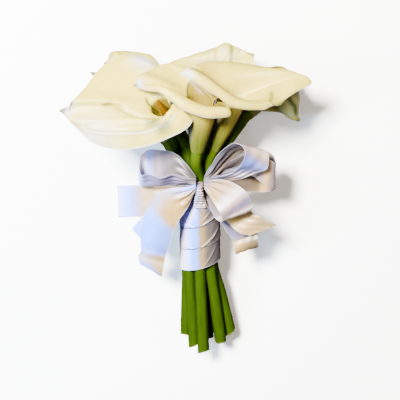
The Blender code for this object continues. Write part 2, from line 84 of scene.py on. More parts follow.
# A spathe's surface. Its rise runs from 0 at the foot to 1 at the rim.
THROAT_RISE = 0.263      # where the tube ends and the limb starts
LIMB_RISE = 0.754        # where the limb ends and the margin's roll starts
LAP_START = 152.0        # angle from which both margins run down into the throat
LAP_SPAN = 46.0          # degrees over which they do
MARGIN_DIP = 0.85        # share of the limb's height that they lose there
LAP_SPACE = (0.8, 2.8)   # mm between the lapped margins, at the foot and further up
LIMB_LEAN = 12.0         # degrees that the limb leans out where it starts
LIMB_PULL = (0.3, 0.9)   # lengths of its curve's end slopes, as shares of its reach
GROOVE_WIDTH = 13.0      # degrees either side of the tip
RIBS = 34.0              # fine ribs round it, and their height in mm
RIB_HEIGHT = 0.03
TIP_WIDTH = 5.0          # degrees either side of the drawn-out tip, and its length in mm
TIP_LENGTH = 5.0

# Rows and columns of the grids. A spathe's rows are those of its tube, its
# limb and its margin's roll.
TUBE_ROWS, LIMB_ROWS, ROLL_ROWS, SPATHE_COLUMNS = 18, 41, 18, 176
SPADIX_SIDES = 48
STEM_ROWS, STEM_SIDES = 110, 40
STRIP_ROWS, STRIP_COLUMNS = 16, 36   # the rows are for each row of the tables below
KNOT_ROWS, KNOT_SIDES = 150, 96
WRAP_ROWS, WRAP_SIDES = 200, 160
FLOOR_LINES = 17

SHARP_ANGLE = 50.0       # degrees between two faces from which their edge is sharp

# The bow's middle, in mm
KNOT_TOP = 5.0
KNOT_LENGTH = 31.0
KNOT_HALF = (3.2, 7.4)      # half its width, at the top and at the foot
KNOT_FRONT = (47.0, 28.5)   # where its front is, there
KNOT_SINK = (0.4, 1.0)      # how far its back is sunk into the handle, there
KNOT_ROUND = 0.6            # power that squares its round section
KNOT_PUCKERS = 9.0
PUCKER_DEPTH = (0.4, 0.75)  # at its sides and on its front

# The wound ribbon: how far it stands out, as (share of the height, share of
# LAP_LIFT), climbing over each turn to the edge that laps the next one
WRAP_LAPS = ((0.0, 0.0), (0.494, 1.0), (0.50, 0.0), (0.744, 1.0), (0.75, 0.0), (1.0, 1.0))
LAP_LIFT = 0.9           # mm
LAP_STEP = 0.006         # height from a turn's edge to the next turn, and how far it wanders
EDGE_WIDTH = 0.012       # height of the woven edge
HANDLE_GIRTH = 157.0     # mm round it

# Folds, lines and spots of the spathes: places (angle, rise) along each, how
# many mm it is pressed outwards (a valley on the inside), its width in mm, its
# tone and how strong that is. A green tone is partly the spathe's own green
# (tip, midrib) and partly painted shade: the dark lines at the throats, the
# valleys and the grey-green patches. A pale tone is painted highlight and
# painted bluish window light.
FOLDS = {
    "left": (
        (((-8, 1.0), (-12, 0.7), (-12, 0.6), (6, 0.49), (48, 0.44), (77, 0.37), (110, 0.34)),
         3.0, 2.8, "green", 0.4),
        (((108, 0.55), (89, 0.52)), 0.0, 6.5, "green", 0.8),
        (((123, 0.82), (129, 0.8)), 0.0, 7.5, "green", 0.84),
        (((60, 0.62), (100, 0.7), (140, 0.75)), 0.0, 10.0, "green", 0.1),
        (((12, 0.81), (30, 0.65), (38, 0.56), (53, 0.47), (80, 0.43)), -2.2, 3.6, "", 0.0),
        (((30, 0.84), (48, 0.77), (69, 0.75), (95, 0.75), (121, 0.75), (140, 0.62)),
         -1.8, 2.2, "pale", 0.45),
        (((32, 0.79), (50, 0.71), (69, 0.68), (95, 0.68), (121, 0.68), (140, 0.57)),
         2.0, 2.6, "green", 0.22),
        (((-42, 0.38), (-17, 0.32), (-9, 0.25), (-25, 0.18)), 0.3, 1.7, "green", 1.0),
        (((-113, 0.85),), 0.0, 13.0, "pale", 0.8),
        (((0, 0.9),), 0.0, 11.0, "pale", 0.7),
        (((-4, 1.0),), 0.0, 3.5, "green", 1.0),
        (((45, 0.95),), 0.0, 26.0, "pale", 0.6)),
    "centre": (
        (((-101, 0.54), (-63, 0.43), (-40, 0.36), (-22, 0.29), (0, 0.25)), 0.3, 1.8, "green", 1.0),
        (((4, 0.92),), 0.0, 7.0, "pale", 1.0),
        (((20, 0.85),), 0.0, 5.0, "green", 0.12)),
    "right": (
        (((-141, 0.97), (-152, 0.9)), 0.0, 6.0, "pale", 0.9),
        (((-165, 0.85), (170, 0.85)), 0.0, 9.0, "green", 0.12),
        (((-5, 0.7), (5, 0.64), (12, 0.59)), 0.9, 4.0, "green", 0.8),
        (((4, 0.66),), 0.4, 11.0, "green", 0.45)),
    "top": (
        (((26, 0.76), (17, 0.66), (5, 0.56)), 1.2, 2.6, "green", 1.0),
        (((12, 0.74), (4, 0.62)), 0.8, 2.0, "green", 0.6),
        (((18, 0.7),), 0.0, 9.0, "green", 0.3),
        (((40, 0.6),), 0.0, 34.0, "green", 0.3)),
    "back_left": (
        (((-15, 0.93), (-20, 0.75)), 1.0, 5.0, "green", 0.5),
        (((-60, 0.95),), 0.0, 14.0, "green", 0.18)),
    "low_left": (
        (((0, 0.95), (5, 0.8)), 0.0, 5.0, "green", 0.8),),
    "low_right": (
        (((-24, 0.61), (-14, 0.7), (-5, 0.86), (-1, 1.0)), 0.8, 2.8, "green", 0.9),
        (((-18, 0.9), (-25, 0.6)), -0.8, 3.0, "", 0.0),
        (((-12, 0.7),), 0.0, 24.0, "pale", 0.15)),
}

# How far up the throat's tan reaches, at the tip's side and on the far side.
# That tan is partly the spathe's own colour and partly painted shade.
THROATS = {"left": (0.27, 0.27), "centre": (0.22, 0.80)}
PLAIN_THROAT = (0.3, 0.3)

# Creases on the handle: (angle, height) of the middle, climb, length in
# degrees, width, height.
HANDLE_CREASES = (
    ((62, 0.455), 0.03, 20, 0.010, 1.0), ((48, 0.43), 0.05, 24, 0.012, 0.8),
    ((70, 0.395), 0.06, 16, 0.010, 0.5), ((118, 0.475), -0.02, 14, 0.008, 0.8),
    ((136, 0.45), -0.03, 16, 0.010, 0.6), ((66, 0.70), 0.05, 20, 0.009, 1.0),
    ((52, 0.665), 0.06, 22, 0.010, 0.7), ((122, 0.725), -0.02, 16, 0.009, 0.7),
    ((78, 0.20), 0.05, 12, 0.012, 0.6), ((98, 0.26), -0.06, 12, 0.012, 0.5),
    ((60, 0.90), 0.08, 18, 0.012, 0.5), ((215, 0.46), 0.03, 22, 0.010, 0.7),
    ((290, 0.44), -0.04, 20, 0.010, 0.8), ((330, 0.70), 0.04, 22, 0.010, 0.7),
    ((250, 0.71), -0.03, 20, 0.009, 0.8), ((180, 0.22), 0.05, 20, 0.012, 0.5),
    ((300, 0.20), -0.05, 22, 0.012, 0.5))

# Lights: name, place, size in metres, watts, colour
LIGHTS = (
    ("key", (-0.48, 0.45, 1.5), 0.34, 300.0, (1.0, 0.98, 0.92)),
    ("window", (-0.85, -0.05, 1.0), 0.4, 42.0, (0.50, 0.72, 1.0)),
    ("lamp", (1.1, -0.2, 0.8), 0.5, 14.0, (1.0, 0.85, 0.68)))
WORLD_LIGHT = 0.12
WORLD_COLOUR = (0.93, 0.95, 1.0, 1.0)
LIGHTS_AIM = (0.0, 0.0, 0.05)
FLOOR_HALF = 3.0         # half the floor's side in metres
FLOOR_GLOW = 0.1
PHOTO_WIDTH = 400.0      # the picture's width in steps, and the camera's sensor in mm
SENSOR_WIDTH = 36.0

# Painted light along each strip, as (share of the length, cool, light): cool
# is 0 for painted warm lamp light to 1 for painted bluish window light, light
# is below 0 for painted shade and above it for painted highlight
PAINTED_LIGHT_BANDS = {
    "loop_upper_left": (
        (0, .3, -.7), (.1, .25, -.6), (.2, .25, -.6), (.27, .3, -.4), (.31, .3, -.1), (.34, .3, -.15),
        (.38, .6, .2), (.42, 1, .8), (.45, 1, 1), (.51, 1, 1), (.55, .9, .6), (.6, .5, .15),
        (.65, .45, .0), (.74, .4, -.1), (.85, .35, -.1), (1, .3, -.5)),
    "loop_lower_left": (
        (0, .5, -.3), (.3, .5, -.2), (.5, 1, .0), (.54, 1, .6), (.565, 1, .4), (.62, .6, .05),
        (.68, .1, .2), (.8, .05, .1), (.9, .2, .0), (1, .4, -.2)),
    "tail_left": (
        (0, .4, -.2), (.12, .2, .0), (.25, .0, .1), (.36, .05, .05), (.42, .55, .0), (.48, 1, -.1),
        (.7, 1, -.1), (.76, .7, .2), (.82, .1, .25), (.88, .1, .5), (.94, .3, .2), (1, .8, -.1)),
    "tail_left_rear": (
        (0, .4, -.2), (.6, .9, .0), (.85, 1, .2), (1, .9, .0)),
    "loop_upper_right": (
        (0, .3, -.5), (.1, .25, -.5), (.2, .25, -.6), (.3, .25, -.6), (.38, .25, -.5), (.44, .2, .0),
        (.48, .15, .4), (.52, .15, .35), (.56, .4, .0), (.60, .65, -.15), (.65, .5, -.2), (.70, .4, .3),
        (.74, .4, .7), (.78, .3, .1), (.85, .3, -.35), (1, .3, -.5)),
    "loop_rear_right": (
        (0, .3, -.6), (.3, .2, -.45), (.35, .15, -.35), (.375, .15, -.35), (.4, .1, .15), (.42, .0, .1),
        (.45, .2, -.35), (.53, .3, -.45), (.59, .1, .0), (.64, .3, -.15), (.68, .3, -.35),
        (.72, .3, -.45), (1, .3, -.5)),
    "loop_lower_right": (
        (0, .3, -.2), (.12, .1, -.05), (.2, .1, .1), (.27, .15, .6), (.31, .15, .7), (.36, .2, .1),
        (.40, .32, -.25), (.44, .35, -.3), (.47, .2, -.05), (.50, .15, .9), (.53, .2, .3), (.58, .3, -.3),
        (1, .3, -.6)),
    "tail_right": (
        (0, .2, -.6), (.4, .1, -.35), (.58, .0, -.1), (.68, .0, .0), (.72, .0, .3), (.78, .0, -.05),
        (.85, .0, -.25), (.92, .0, -.25), (1, .0, -.15)),
    "tail_right_rear": (
        (0, .3, -.7), (.4, .4, -.6), (.6, .4, -.5), (.72, .1, -.45), (.8, .0, -.35), (.88, .0, -.3),
        (1, .0, -.2)),
}

# How the painted window light and the painted highlight and shade change from
# the first edge of a strip to its second
PAINTED_LIGHT_ACROSS = {
    "tail_left": (-0.7, -0.35), "tail_right": (0.0, -0.2), "tail_right_rear": (0.0, -0.55),
    "loop_upper_right": (-0.2, 0.3), "loop_lower_right": (0.1, -0.25)}

# The same painted light round the handle's front, from facing right (-1) to
# facing left (1)
HANDLE_PAINTED_LIGHT = (
    (-1, .3, -.45), (-.9, .3, -.65), (-.7, .3, -.8), (-.4, .2, -.75), (-.18, .0, -.3), (-.05, .1, -.25),
    (.05, .3, -.2), (.14, 1, -.15), (.35, 1, -.1), (.62, .9, .3), (.85, .35, .5), (1, .15, .6))

# How the bouquet lies: on two blooms of its far side and one stem's foot
PITCH = 14.535
ROLL = 1.127
SHIFT = (10.474, 26.011, 73.911)

LEFT = (-1.0, 0.0, 0.0)
RIGHT = (1.0, 0.0, 0.0)

# Blooms. base, throat: steps right, steps up, mm forward. Each rim row is
# angle round the bloom, steps right, steps up, mm forward, then how far the
# limb has opened, how far its edge rolls on, and the length of that roll.
# The two margins lap each other at 180.
BLOOMS = {
    "left": dict(
        base=(-22, 50, 14), throat=(-39, 74, 42), apex=LEFT, throat_radius=13.0, spadix=54.0, lap=170.0,
        fold=0.3, channel=7.0, ripple=1.5, stem_turn=141.4, foot=(-7.4, -211.0, 14.5),
        rim=((-180, -24, 79, 38, 75, 80, 10), (-150, -32, 99, 12, 70, 70, 14),
             (-120, -51, 115, 4, 60, 50, 12), (-95, -68, 120, 4, 50, 50, 12),
             (-72, -85, 116, 9, 48, 40, 8), (-52, -99, 106, 18, 55, 40, 8),
             (-36, -110, 92, 30, 62, 40, 6), (-22, -120, 82, 42, 70, 40, 5), (-7, -131, 77, 50, 80, 30, 5),
             (0, -136, 73, 54, 80, 60, 7), (7, -132, 66, 55, 80, 50, 6),
             (26, -117, 56, 59, 78, 55, 10), (46, -100, 49, 66, 70, 66, 17),
             (72, -78, 47, 69, 68, 68, 19), (100, -56, 49, 67, 68, 68, 18),
             (125, -38, 56, 64, 72, 70, 16), (148, -21, 64, 59, 80, 72, 14),
             (164, -17, 71, 52, 80, 80, 12))),
    "centre": dict(
        base=(-3, 29, 28), throat=(1.1, 79.2, 42), apex=LEFT, throat_radius=16.8, spadix=54.0, lap=172.0,
        channel=2.0, ripple=1.0, stem_turn=90.0, foot=(4.4, -216.0, 25.0),
        rim=((-180, 29, 83, 44.7, 80, 80, 8), (-150, 14, 83, 32, 70, 60, 6), (-132, 1, 92, 25, 65, 50, 5),
             (-110, -15, 109, 14, 60, 50, 6), (-80, -32, 113, 12, 60, 40, 6),
             (-50, -46, 108, 22, 70, 40, 6), (-25, -56, 104, 34, 85, 90, 9),
             (0, -58, 98, 44, 90, 120, 11), (25, -49, 95, 54, 90, 120, 9),
             (50, -37, 93, 62, 90, 120, 8), (75, -23, 85, 66, 90, 130, 10),
             (100, -8, 78, 68, 90, 130, 13), (125, 8, 74, 66, 90, 130, 14),
             (148, 24, 74, 60, 90, 120, 12), (164, 29, 74, 54, 85, 110, 9))),
    "right": dict(
        base=(13, 30, 9), throat=(33, 80, 15), apex=RIGHT, throat_radius=15.0, spadix=50.0, lap=198.0,
        channel=3.0, ripple=1.2, stem_turn=38.6, foot=(26.0, -207.0, 12.0),
        rim=((-180, -7, 114, 34, 70, 70, 10), (-160, -11, 111, 50, 85, 100, 14),
             (-148, -9, 109, 56, 90, 120, 14), (-132, -2, 105, 59, 90, 140, 12),
             (-116, 9, 98, 60, 90, 150, 12), (-98, 22, 89, 60, 90, 150, 13),
             (-78, 37, 80, 58, 90, 150, 14), (-58, 53, 77, 54, 90, 140, 12),
             (-42, 62, 77, 49, 90, 110, 9), (-26, 68, 78, 44, 90, 80, 6),
             (-10, 72, 78, 38, 90, 60, 5), (0, 75, 79, 35, 90, 60, 5),
             (8, 83, 84, 28, 90, 60, 5), (18, 95, 92, 18, 90, 60, 5),
             (28, 107, 99, 10, 85, 50, 6), (38, 101, 104, 7, 60, 60, 11),
             (54, 84, 106, 6, 35, 75, 19), (80, 62, 107, 4, 30, 80, 22),
             (110, 36, 107, 4, 30, 80, 22), (140, 14, 109, 8, 40, 75, 17),
             (160, 2, 112, 18, 60, 65, 11))),
    "top": dict(
        base=(5, 62, -24), throat=(5, 98, -32), apex=RIGHT, throat_radius=14.0, spadix=40.0, lap=198.0,
        channel=2.0, ripple=1.2, stem_turn=None, foot=(10.0, -208.0, 4.0),
        rim=((-180, -34, 110, -30, 65, 50, 8), (-150, -26, 108, -14, 80, 60, 8),
             (-100, 0, 102, -14, 90, 60, 8), (-50, 34, 106, -25, 90, 60, 8),
             (-24, 49, 115, -31, 95, 60, 6), (-6, 49, 124, -34, 90, 70, 6), (8, 43, 130, -38, 85, 60, 5),
             (22, 34, 133, -44, 75, 50, 5), (32, 26, 137, -48, 70, 50, 5),
             (50, 18, 134, -51, 70, 50, 6), (75, 8, 130, -52, 70, 50, 6), (110, -10, 125, -50, 70, 50, 6),
             (140, -24, 119, -46, 70, 50, 6), (160, -32, 114, -38, 65, 50, 8))),
    "back_left": dict(
        base=(-36, 56, -18), throat=(-56, 90, -24), apex=LEFT, throat_radius=13.0, spadix=40.0, lap=174.0,
        channel=2.0, ripple=1.2, stem_turn=192.9, foot=(-17.6, -204.0, 2.5),
        rim=((-180, -36, 100, -34, 60, 50, 8), (-150, -46, 116, -46, 70, 60, 8),
             (-100, -64, 125, -50, 70, 50, 8), (-60, -80, 128, -46, 60, 60, 6),
             (-40, -86, 128, -44, 70, 60, 6), (-14, -89, 124, -40, 70, 60, 6),
             (0, -91, 121, -38, 80, 100, 8), (20, -94, 112, -32, 80, 60, 6),
             (45, -94, 100, -18, 90, 60, 8), (70, -80, 94, -6, 90, 60, 8),
             (105, -60, 90, -3, 90, 60, 8), (150, -40, 92, -10, 80, 60, 8))),
    "low_left": dict(
        base=(-33, 38, -45), throat=(-53, 70, -63), apex=(-0.83, 0.55, 0.05), throat_radius=12.0,
        spadix=36.0, lap=198.0, channel=3.0, ripple=1.5, stem_turn=244.3, foot=(-4.0, -206.0, -16.0),
        scale=0.8, tip=((35, 48), (41, 74), (43.5, 89))),
    "low_right": dict(
        base=(47, 65, -25), throat=(62, 84, -57), apex=(0.75, -0.45, 0.6), throat_radius=12.0,
        spadix=36.0, lap=198.0, channel=3.0, ripple=1.5, stem_turn=347.1, foot=(38.0, -199.0, 1.5),
        scale=0.9, tip=((44, 12), (51, -4), (54, -12))),
    "back": dict(
        base=(3, 33, -37), throat=(6, 54, -54), apex=LEFT, throat_radius=10.0,
        spadix=32.0, lap=190.0, channel=3.0, ripple=1.5, stem_turn=295.7, foot=(22.0, -205.0, -9.0),
        scale=0.65, tip=((40, 34), (46, 42), (49, 45))),
}

# Rim of the three blooms on the far side: angle, reach from the tube's axis,
# height over the throat, then opening, roll and roll length as above.
FAR_RIM = ((-180, 24, 10, 80, 60, 6), (-150, 26, 12, 85, 80, 9), (-100, 31, 18, 85, 80, 10),
           (-60, 36, 28, 80, 60, 9), (-30, 42, 40, 75, 50, 7), (-10, 47, 50, 75, 40, 6),
           (0, 50, 54, 75, 60, 7), (10, 47, 50, 75, 40, 6), (30, 42, 40, 75, 50, 7),
           (60, 36, 28, 80, 60, 9), (100, 31, 18, 85, 80, 10), (150, 26, 12, 85, 80, 9))

# Ribbon strips. Each row is one edge, then the other edge, in the same steps.
STRIPS = {
    "loop_upper_left": (
        ((-4.15, 3, 31), (-4.15, -4, 31)), ((-12, 14, 30), (-12, -4, 30)),
        ((-24, 26, 25), (-22, -4.5, 25)), ((-40, 30, 22), (-38, -4.5, 25)),
        ((-54, 29, 24), (-54, -4, 25)), ((-60, 22, 34), (-61.5, -4, 25)),
        ((-61, 12, 47), (-61, -5, 27)), ((-59, 5, 56), (-58, -6, 29)),
        ((-52, 6, 60), (-50, -6, 31)), ((-40, 2, 60), (-40, -6, 31)),
        ((-28, 6, 58), (-28, -4.5, 33)), ((-16, 3, 50), (-16, -3.5, 36)),
        ((-4.15, 1, 42), (-4.15, -5, 42))),
    "loop_lower_left": (
        ((-4.4, 0, 27), (-4.4, -7, 27)), ((-12, -3.5, 23), (-12, -13, 23)),
        ((-24, -4.5, 9), (-24, -24, 9)), ((-45, -5.5, 0), (-45, -34, 0)),
        ((-70, -6, 2), (-70, -37, 2)), ((-81, -7, 8), (-81, -37, 8)),
        ((-82.5, -6, 13), (-81, -36.5, 13)), ((-72, -5.3, 17), (-70, -37, 18)),
        ((-55, -5.3, 17), (-53, -35, 19)), ((-35, -5.5, 20), (-33, -30, 22)),
        ((-18, -5, 26.5), (-16, -20, 27)), ((-4.4, -4.6, 34), (-4.4, -9, 34))),
    "tail_left": (
        ((-4.3, -5, 38), (-4.3, -11, 38)), ((-15, -7.5, 39), (-8.5, -20, 38)),
        ((-30, -8.5, 40), (-13, -29, 37)), ((-42, -13, 42), (-18, -36, 38)),
        ((-50, -23, 44), (-23, -43, 40)), ((-56, -35, 44), (-26.5, -51, 42)),
        ((-59, -47, 42), (-29, -60, 42)), ((-59.5, -60, 38), (-32.5, -70, 40)),
        ((-59, -70, 32), (-35, -78, 34)), ((-61.5, -76, 25), (-36, -84, 27)),
        ((-60, -84, 19), (-38, -97, 19))),
    "tail_left_rear": (
        ((-3.9, -13, 26), (-3.9, -18, 26)), ((-13, -18, 23.5), (-9.5, -28, 24.8)),
        ((-33, -22.5, 15), (-19.5, -38, 17)), ((-48, -29, 12), (-31, -50, 14)),
        ((-59, -39, 11), (-42, -61, 12)), ((-68, -49, 11), (-52, -67, 12))),
    "loop_upper_right": (
        ((4.15, 3, 35), (4.15, -4, 34)), ((11, 13, 40), (18, 7, 27)),
        ((18, 24, 43), (33, 21, 24)), ((26, 32.5, 45), (50, 31, 23)),
        ((35, 37, 46), (62, 31, 25)), ((42, 34, 50), (68, 26.5, 26)),
        ((45, 27, 53), (68.5, 18, 28)), ((43, 18, 54), (66.5, 11, 31)),
        ((36, 10.5, 52), (56, 7.5, 33)), ((26, 5.5, 50), (41, 2, 35)),
        ((15, 4, 46), (25, 0, 38)), ((4.15, 1, 42), (4.15, -4.5, 40))),
    "loop_rear_right": (
        ((4.15, 2, 26.2), (4.15, -5, 26.2)), ((16, 10, 18), (16, -6, 18)),
        ((32, 20, 8), (30, -8, 8)), ((50, 28, 2), (48, -12, 2)),
        ((65, 30, 2), (64, -12, 0)), ((74, 23, 8), (74, -10, 6)),
        ((76, 16, 14), (75, -8, 13)), ((72, 19, 19), (69, -11, 18)),
        ((64, 22, 20), (63, -4, 19)), ((52, 18, 20), (52, 4, 20)),
        ((36, 13, 21), (36, 4, 21)), ((20, 8, 23), (20, 1, 23)),
        ((4.15, 1.5, 28.5), (4.15, -4, 28.5))),
    "loop_lower_right": (
        ((4.35, -8, 46), (4.35, -2, 47)), ((9, -15, 50), (15, 0.5, 52)),
        ((13, -22, 52), (28, -1, 54)), ((17, -28, 53), (39, -6, 55)),
        ((20, -33, 52), (47, -13, 54)), ((22, -38, 48), (50.5, -21, 50)),
        ((22, -41, 43), (52.5, -28.5, 45)), ((20.5, -42, 37), (51, -31, 38)),
        ((16, -39, 33), (46, -27, 33)), ((11.5, -31, 32), (38, -19, 31)),
        ((7.8, -22, 31.5), (26, -11, 31)), ((4.35, -15, 31), (4.35, -9, 31))),
    "tail_right": (
        ((4.05, -17, 26.5), (4.05, -10, 26.5)), ((13, -24, 24.5), (22, -9, 23)),
        ((22, -36, 22), (41, -18, 22)), ((31, -46, 21), (52, -32, 23)),
        ((40, -53, 24), (63, -38, 27)), ((50, -55.5, 26), (77, -45, 30))),
    "tail_right_rear": (
        ((4.5, -25, 26.2), (4.5, -20, 26.2)), ((13, -33, 23.5), (23, -23, 18)),
        ((21, -43, 16), (42, -29, 14)), ((27, -53, 11), (51, -39, 11)),
        ((33, -61, 8), (57, -52, 8)), ((36, -70, 10), (57, -65, 10)),
        ((36, -74, 17), (58, -67, 17)), ((34, -68, 24), (58, -59, 24)),
        ((33.5, -62, 22), (57, -54, 21))),
}


# Surfaces

def smooth(t):
    """Rises from 0 to 1 with level ends: 3t^2 - 2t^3."""
    t = np.clip(t, 0.0, 1.0)
    return t * t * (3.0 - 2.0 * t)


def unit(v):
    """Vectors of length one along the last axis."""
    return v / np.maximum(np.linalg.norm(v, axis=-1, keepdims=True), 1e-9)


def seen(right, up, forward):
    """Place in the bouquet frame of a point seen that many steps right of and
    above the bow, and standing forward mm: the line of sight through that
    point of the view, met with the plane Z = forward."""
    tilt = radians(VIEW_TILT)
    height = up * STEP + VIEW_DROP
    y = ((height * (1.0 - forward * cos(tilt) / VIEW_DISTANCE) - VIEW_DROP + forward * sin(tilt))
         / (cos(tilt) + height * sin(tilt) / VIEW_DISTANCE))
    depth = forward * cos(tilt) + y * sin(tilt)
    return np.array([right * STEP * (1.0 - depth / VIEW_DISTANCE), y, forward])


def lay(points):
    """From the bouquet frame to the lying bouquet, in metres: a turn of PITCH
    about X, a turn of ROLL about Y, then the shift."""
    p, r = radians(PITCH), radians(ROLL)
    x, y, z = points[..., 0], points[..., 1], points[..., 2]
    y, z = y * cos(p) - z * sin(p), y * sin(p) + z * cos(p)
    x, z = x * cos(r) + z * sin(r), z * cos(r) - x * sin(r)
    return (np.stack([x, y, z], -1) + np.array(SHIFT)) / 1000.0


def curve(keys, values, t):
    """Cubic Hermite curve through the values, its slope at a key the mean of
    the two chords weighted towards the shorter one."""
    keys = np.asarray(keys, float)
    values = np.asarray(values, float)
    gaps = np.diff(keys)
    slopes = np.diff(values, axis=0) / gaps[:, None]
    tangents = np.concatenate([slopes[:1], slopes[:1].repeat(len(keys) - 2, 0), slopes[-1:]])
    share = (gaps[1:] / (gaps[1:] + gaps[:-1]))[:, None]
    tangents[1:-1] = slopes[:-1] * share + slopes[1:] * (1.0 - share)
    i = np.clip(np.searchsorted(keys, t, side="right") - 1, 0, len(keys) - 2)
    h = gaps[i][:, None]
    u = (t - keys[i])[:, None] / h
    return ((2 * u**3 - 3 * u**2 + 1) * values[i] + (u**3 - 2 * u**2 + u) * h * tangents[i]
            + (3 * u**2 - 2 * u**3) * values[i + 1] + (u**3 - u**2) * h * tangents[i + 1])


def swell(t, seed, waves, low, high):
    """Soft random swell of t: a sum of sines with seeded pace and phase, about -1 to 1."""
    rng = np.random.default_rng(seed)
    pace = rng.uniform(low, high, waves)
    phase = rng.uniform(0.0, 2 * pi, waves)
    weight = rng.uniform(0.5, 1.0, waves)
    t = np.asarray(t, float)[..., None]
    return (weight * np.sin(2 * pi * pace * t + phase)).sum(-1) / weight.sum()


def grid_normals(points):
    """Unit normals of a grid, the cross product of its two directions."""
    return unit(np.cross(np.gradient(points, axis=1), np.gradient(points, axis=0)))


# Blooms

def bloom_frame(bloom):
    """Base place, tube length and three directions: apex side, left side, up the tube."""
    base = seen(*bloom["base"])
    axis = seen(*bloom["throat"]) - base
    up = unit(axis)
    apex = np.array(bloom["apex"])
    apex = unit(apex - up * (apex @ up))
    return base, float(np.linalg.norm(axis)), apex, np.cross(up, apex), up


def rim_rows(bloom):
    """The rim as rows of angle, place, opening, roll and roll length."""
    if "rim" in bloom:
        return np.array([(r[0], *seen(*r[1:4]), *r[4:]) for r in bloom["rim"]], float)
    base, length, apex, side, up = bloom_frame(bloom)
    size = bloom["scale"]
    rows = []
    for turn, reach, height, opened, rolled, roll in FAR_RIM:
        if abs(turn) <= 30:
            reach, height = bloom["tip"][(30, 10, 0).index(abs(turn))]
        out = cos(radians(turn)) * apex + sin(radians(turn)) * side
        place = base + (length + size * height) * up + size * reach * out
        rows.append((turn, *place, opened, rolled, size * roll))
    return np.array(rows, float)


def trace(points, turn, rise, path):
    """Points of the surface along a path of places (angle, rise)."""
    path = np.array(path, float)
    spots = np.linspace(0.0, len(path) - 1.0, 1 if len(path) == 1 else 24 * len(path))
    angle = np.interp(spots, np.arange(len(path)), path[:, 0])
    height = np.interp(spots, np.arange(len(path)), path[:, 1])
    column = np.interp(angle, turn, np.arange(len(turn)))
    row = np.interp(height, rise, np.arange(len(rise)))
    i, j = np.minimum(row.astype(int), len(rise) - 2), np.minimum(column.astype(int), len(turn) - 2)
    u, v = (row - i)[:, None], (column - j)[:, None]
    return ((1 - u) * (1 - v) * points[i, j] + (1 - u) * v * points[i, j + 1]
            + u * (1 - v) * points[i + 1, j] + u * v * points[i + 1, j + 1])


def fold_spathe(points, turn, rise, folds):
    """Presses the folds into a spathe, each a valley or ridge that fades out
    sideways as exp(-(distance / width)^2). Returns the points, how green each
    one is (partly painted shade) and how much painted highlight it has."""
    green = np.zeros(points.shape[:2])
    pale = np.zeros(points.shape[:2])
    push = np.zeros(points.shape[:2])
    for path, depth, wide, tone, strength in folds:
        line = trace(points, turn, rise, path)
        away = np.min(np.linalg.norm(points[:, :, None, :] - line, axis=-1), axis=2)
        near = np.exp(-(away / wide) ** 2)
        push += depth * near
        # Green is partly the spathe's own green and partly painted shade; pale is painted highlight and
        # painted window light.
        if tone == "green":
            green = np.maximum(green, strength * near)
        if tone == "pale":
            pale = np.maximum(pale, strength * near)
    return points + grid_normals(points) * push[..., None], green, pale


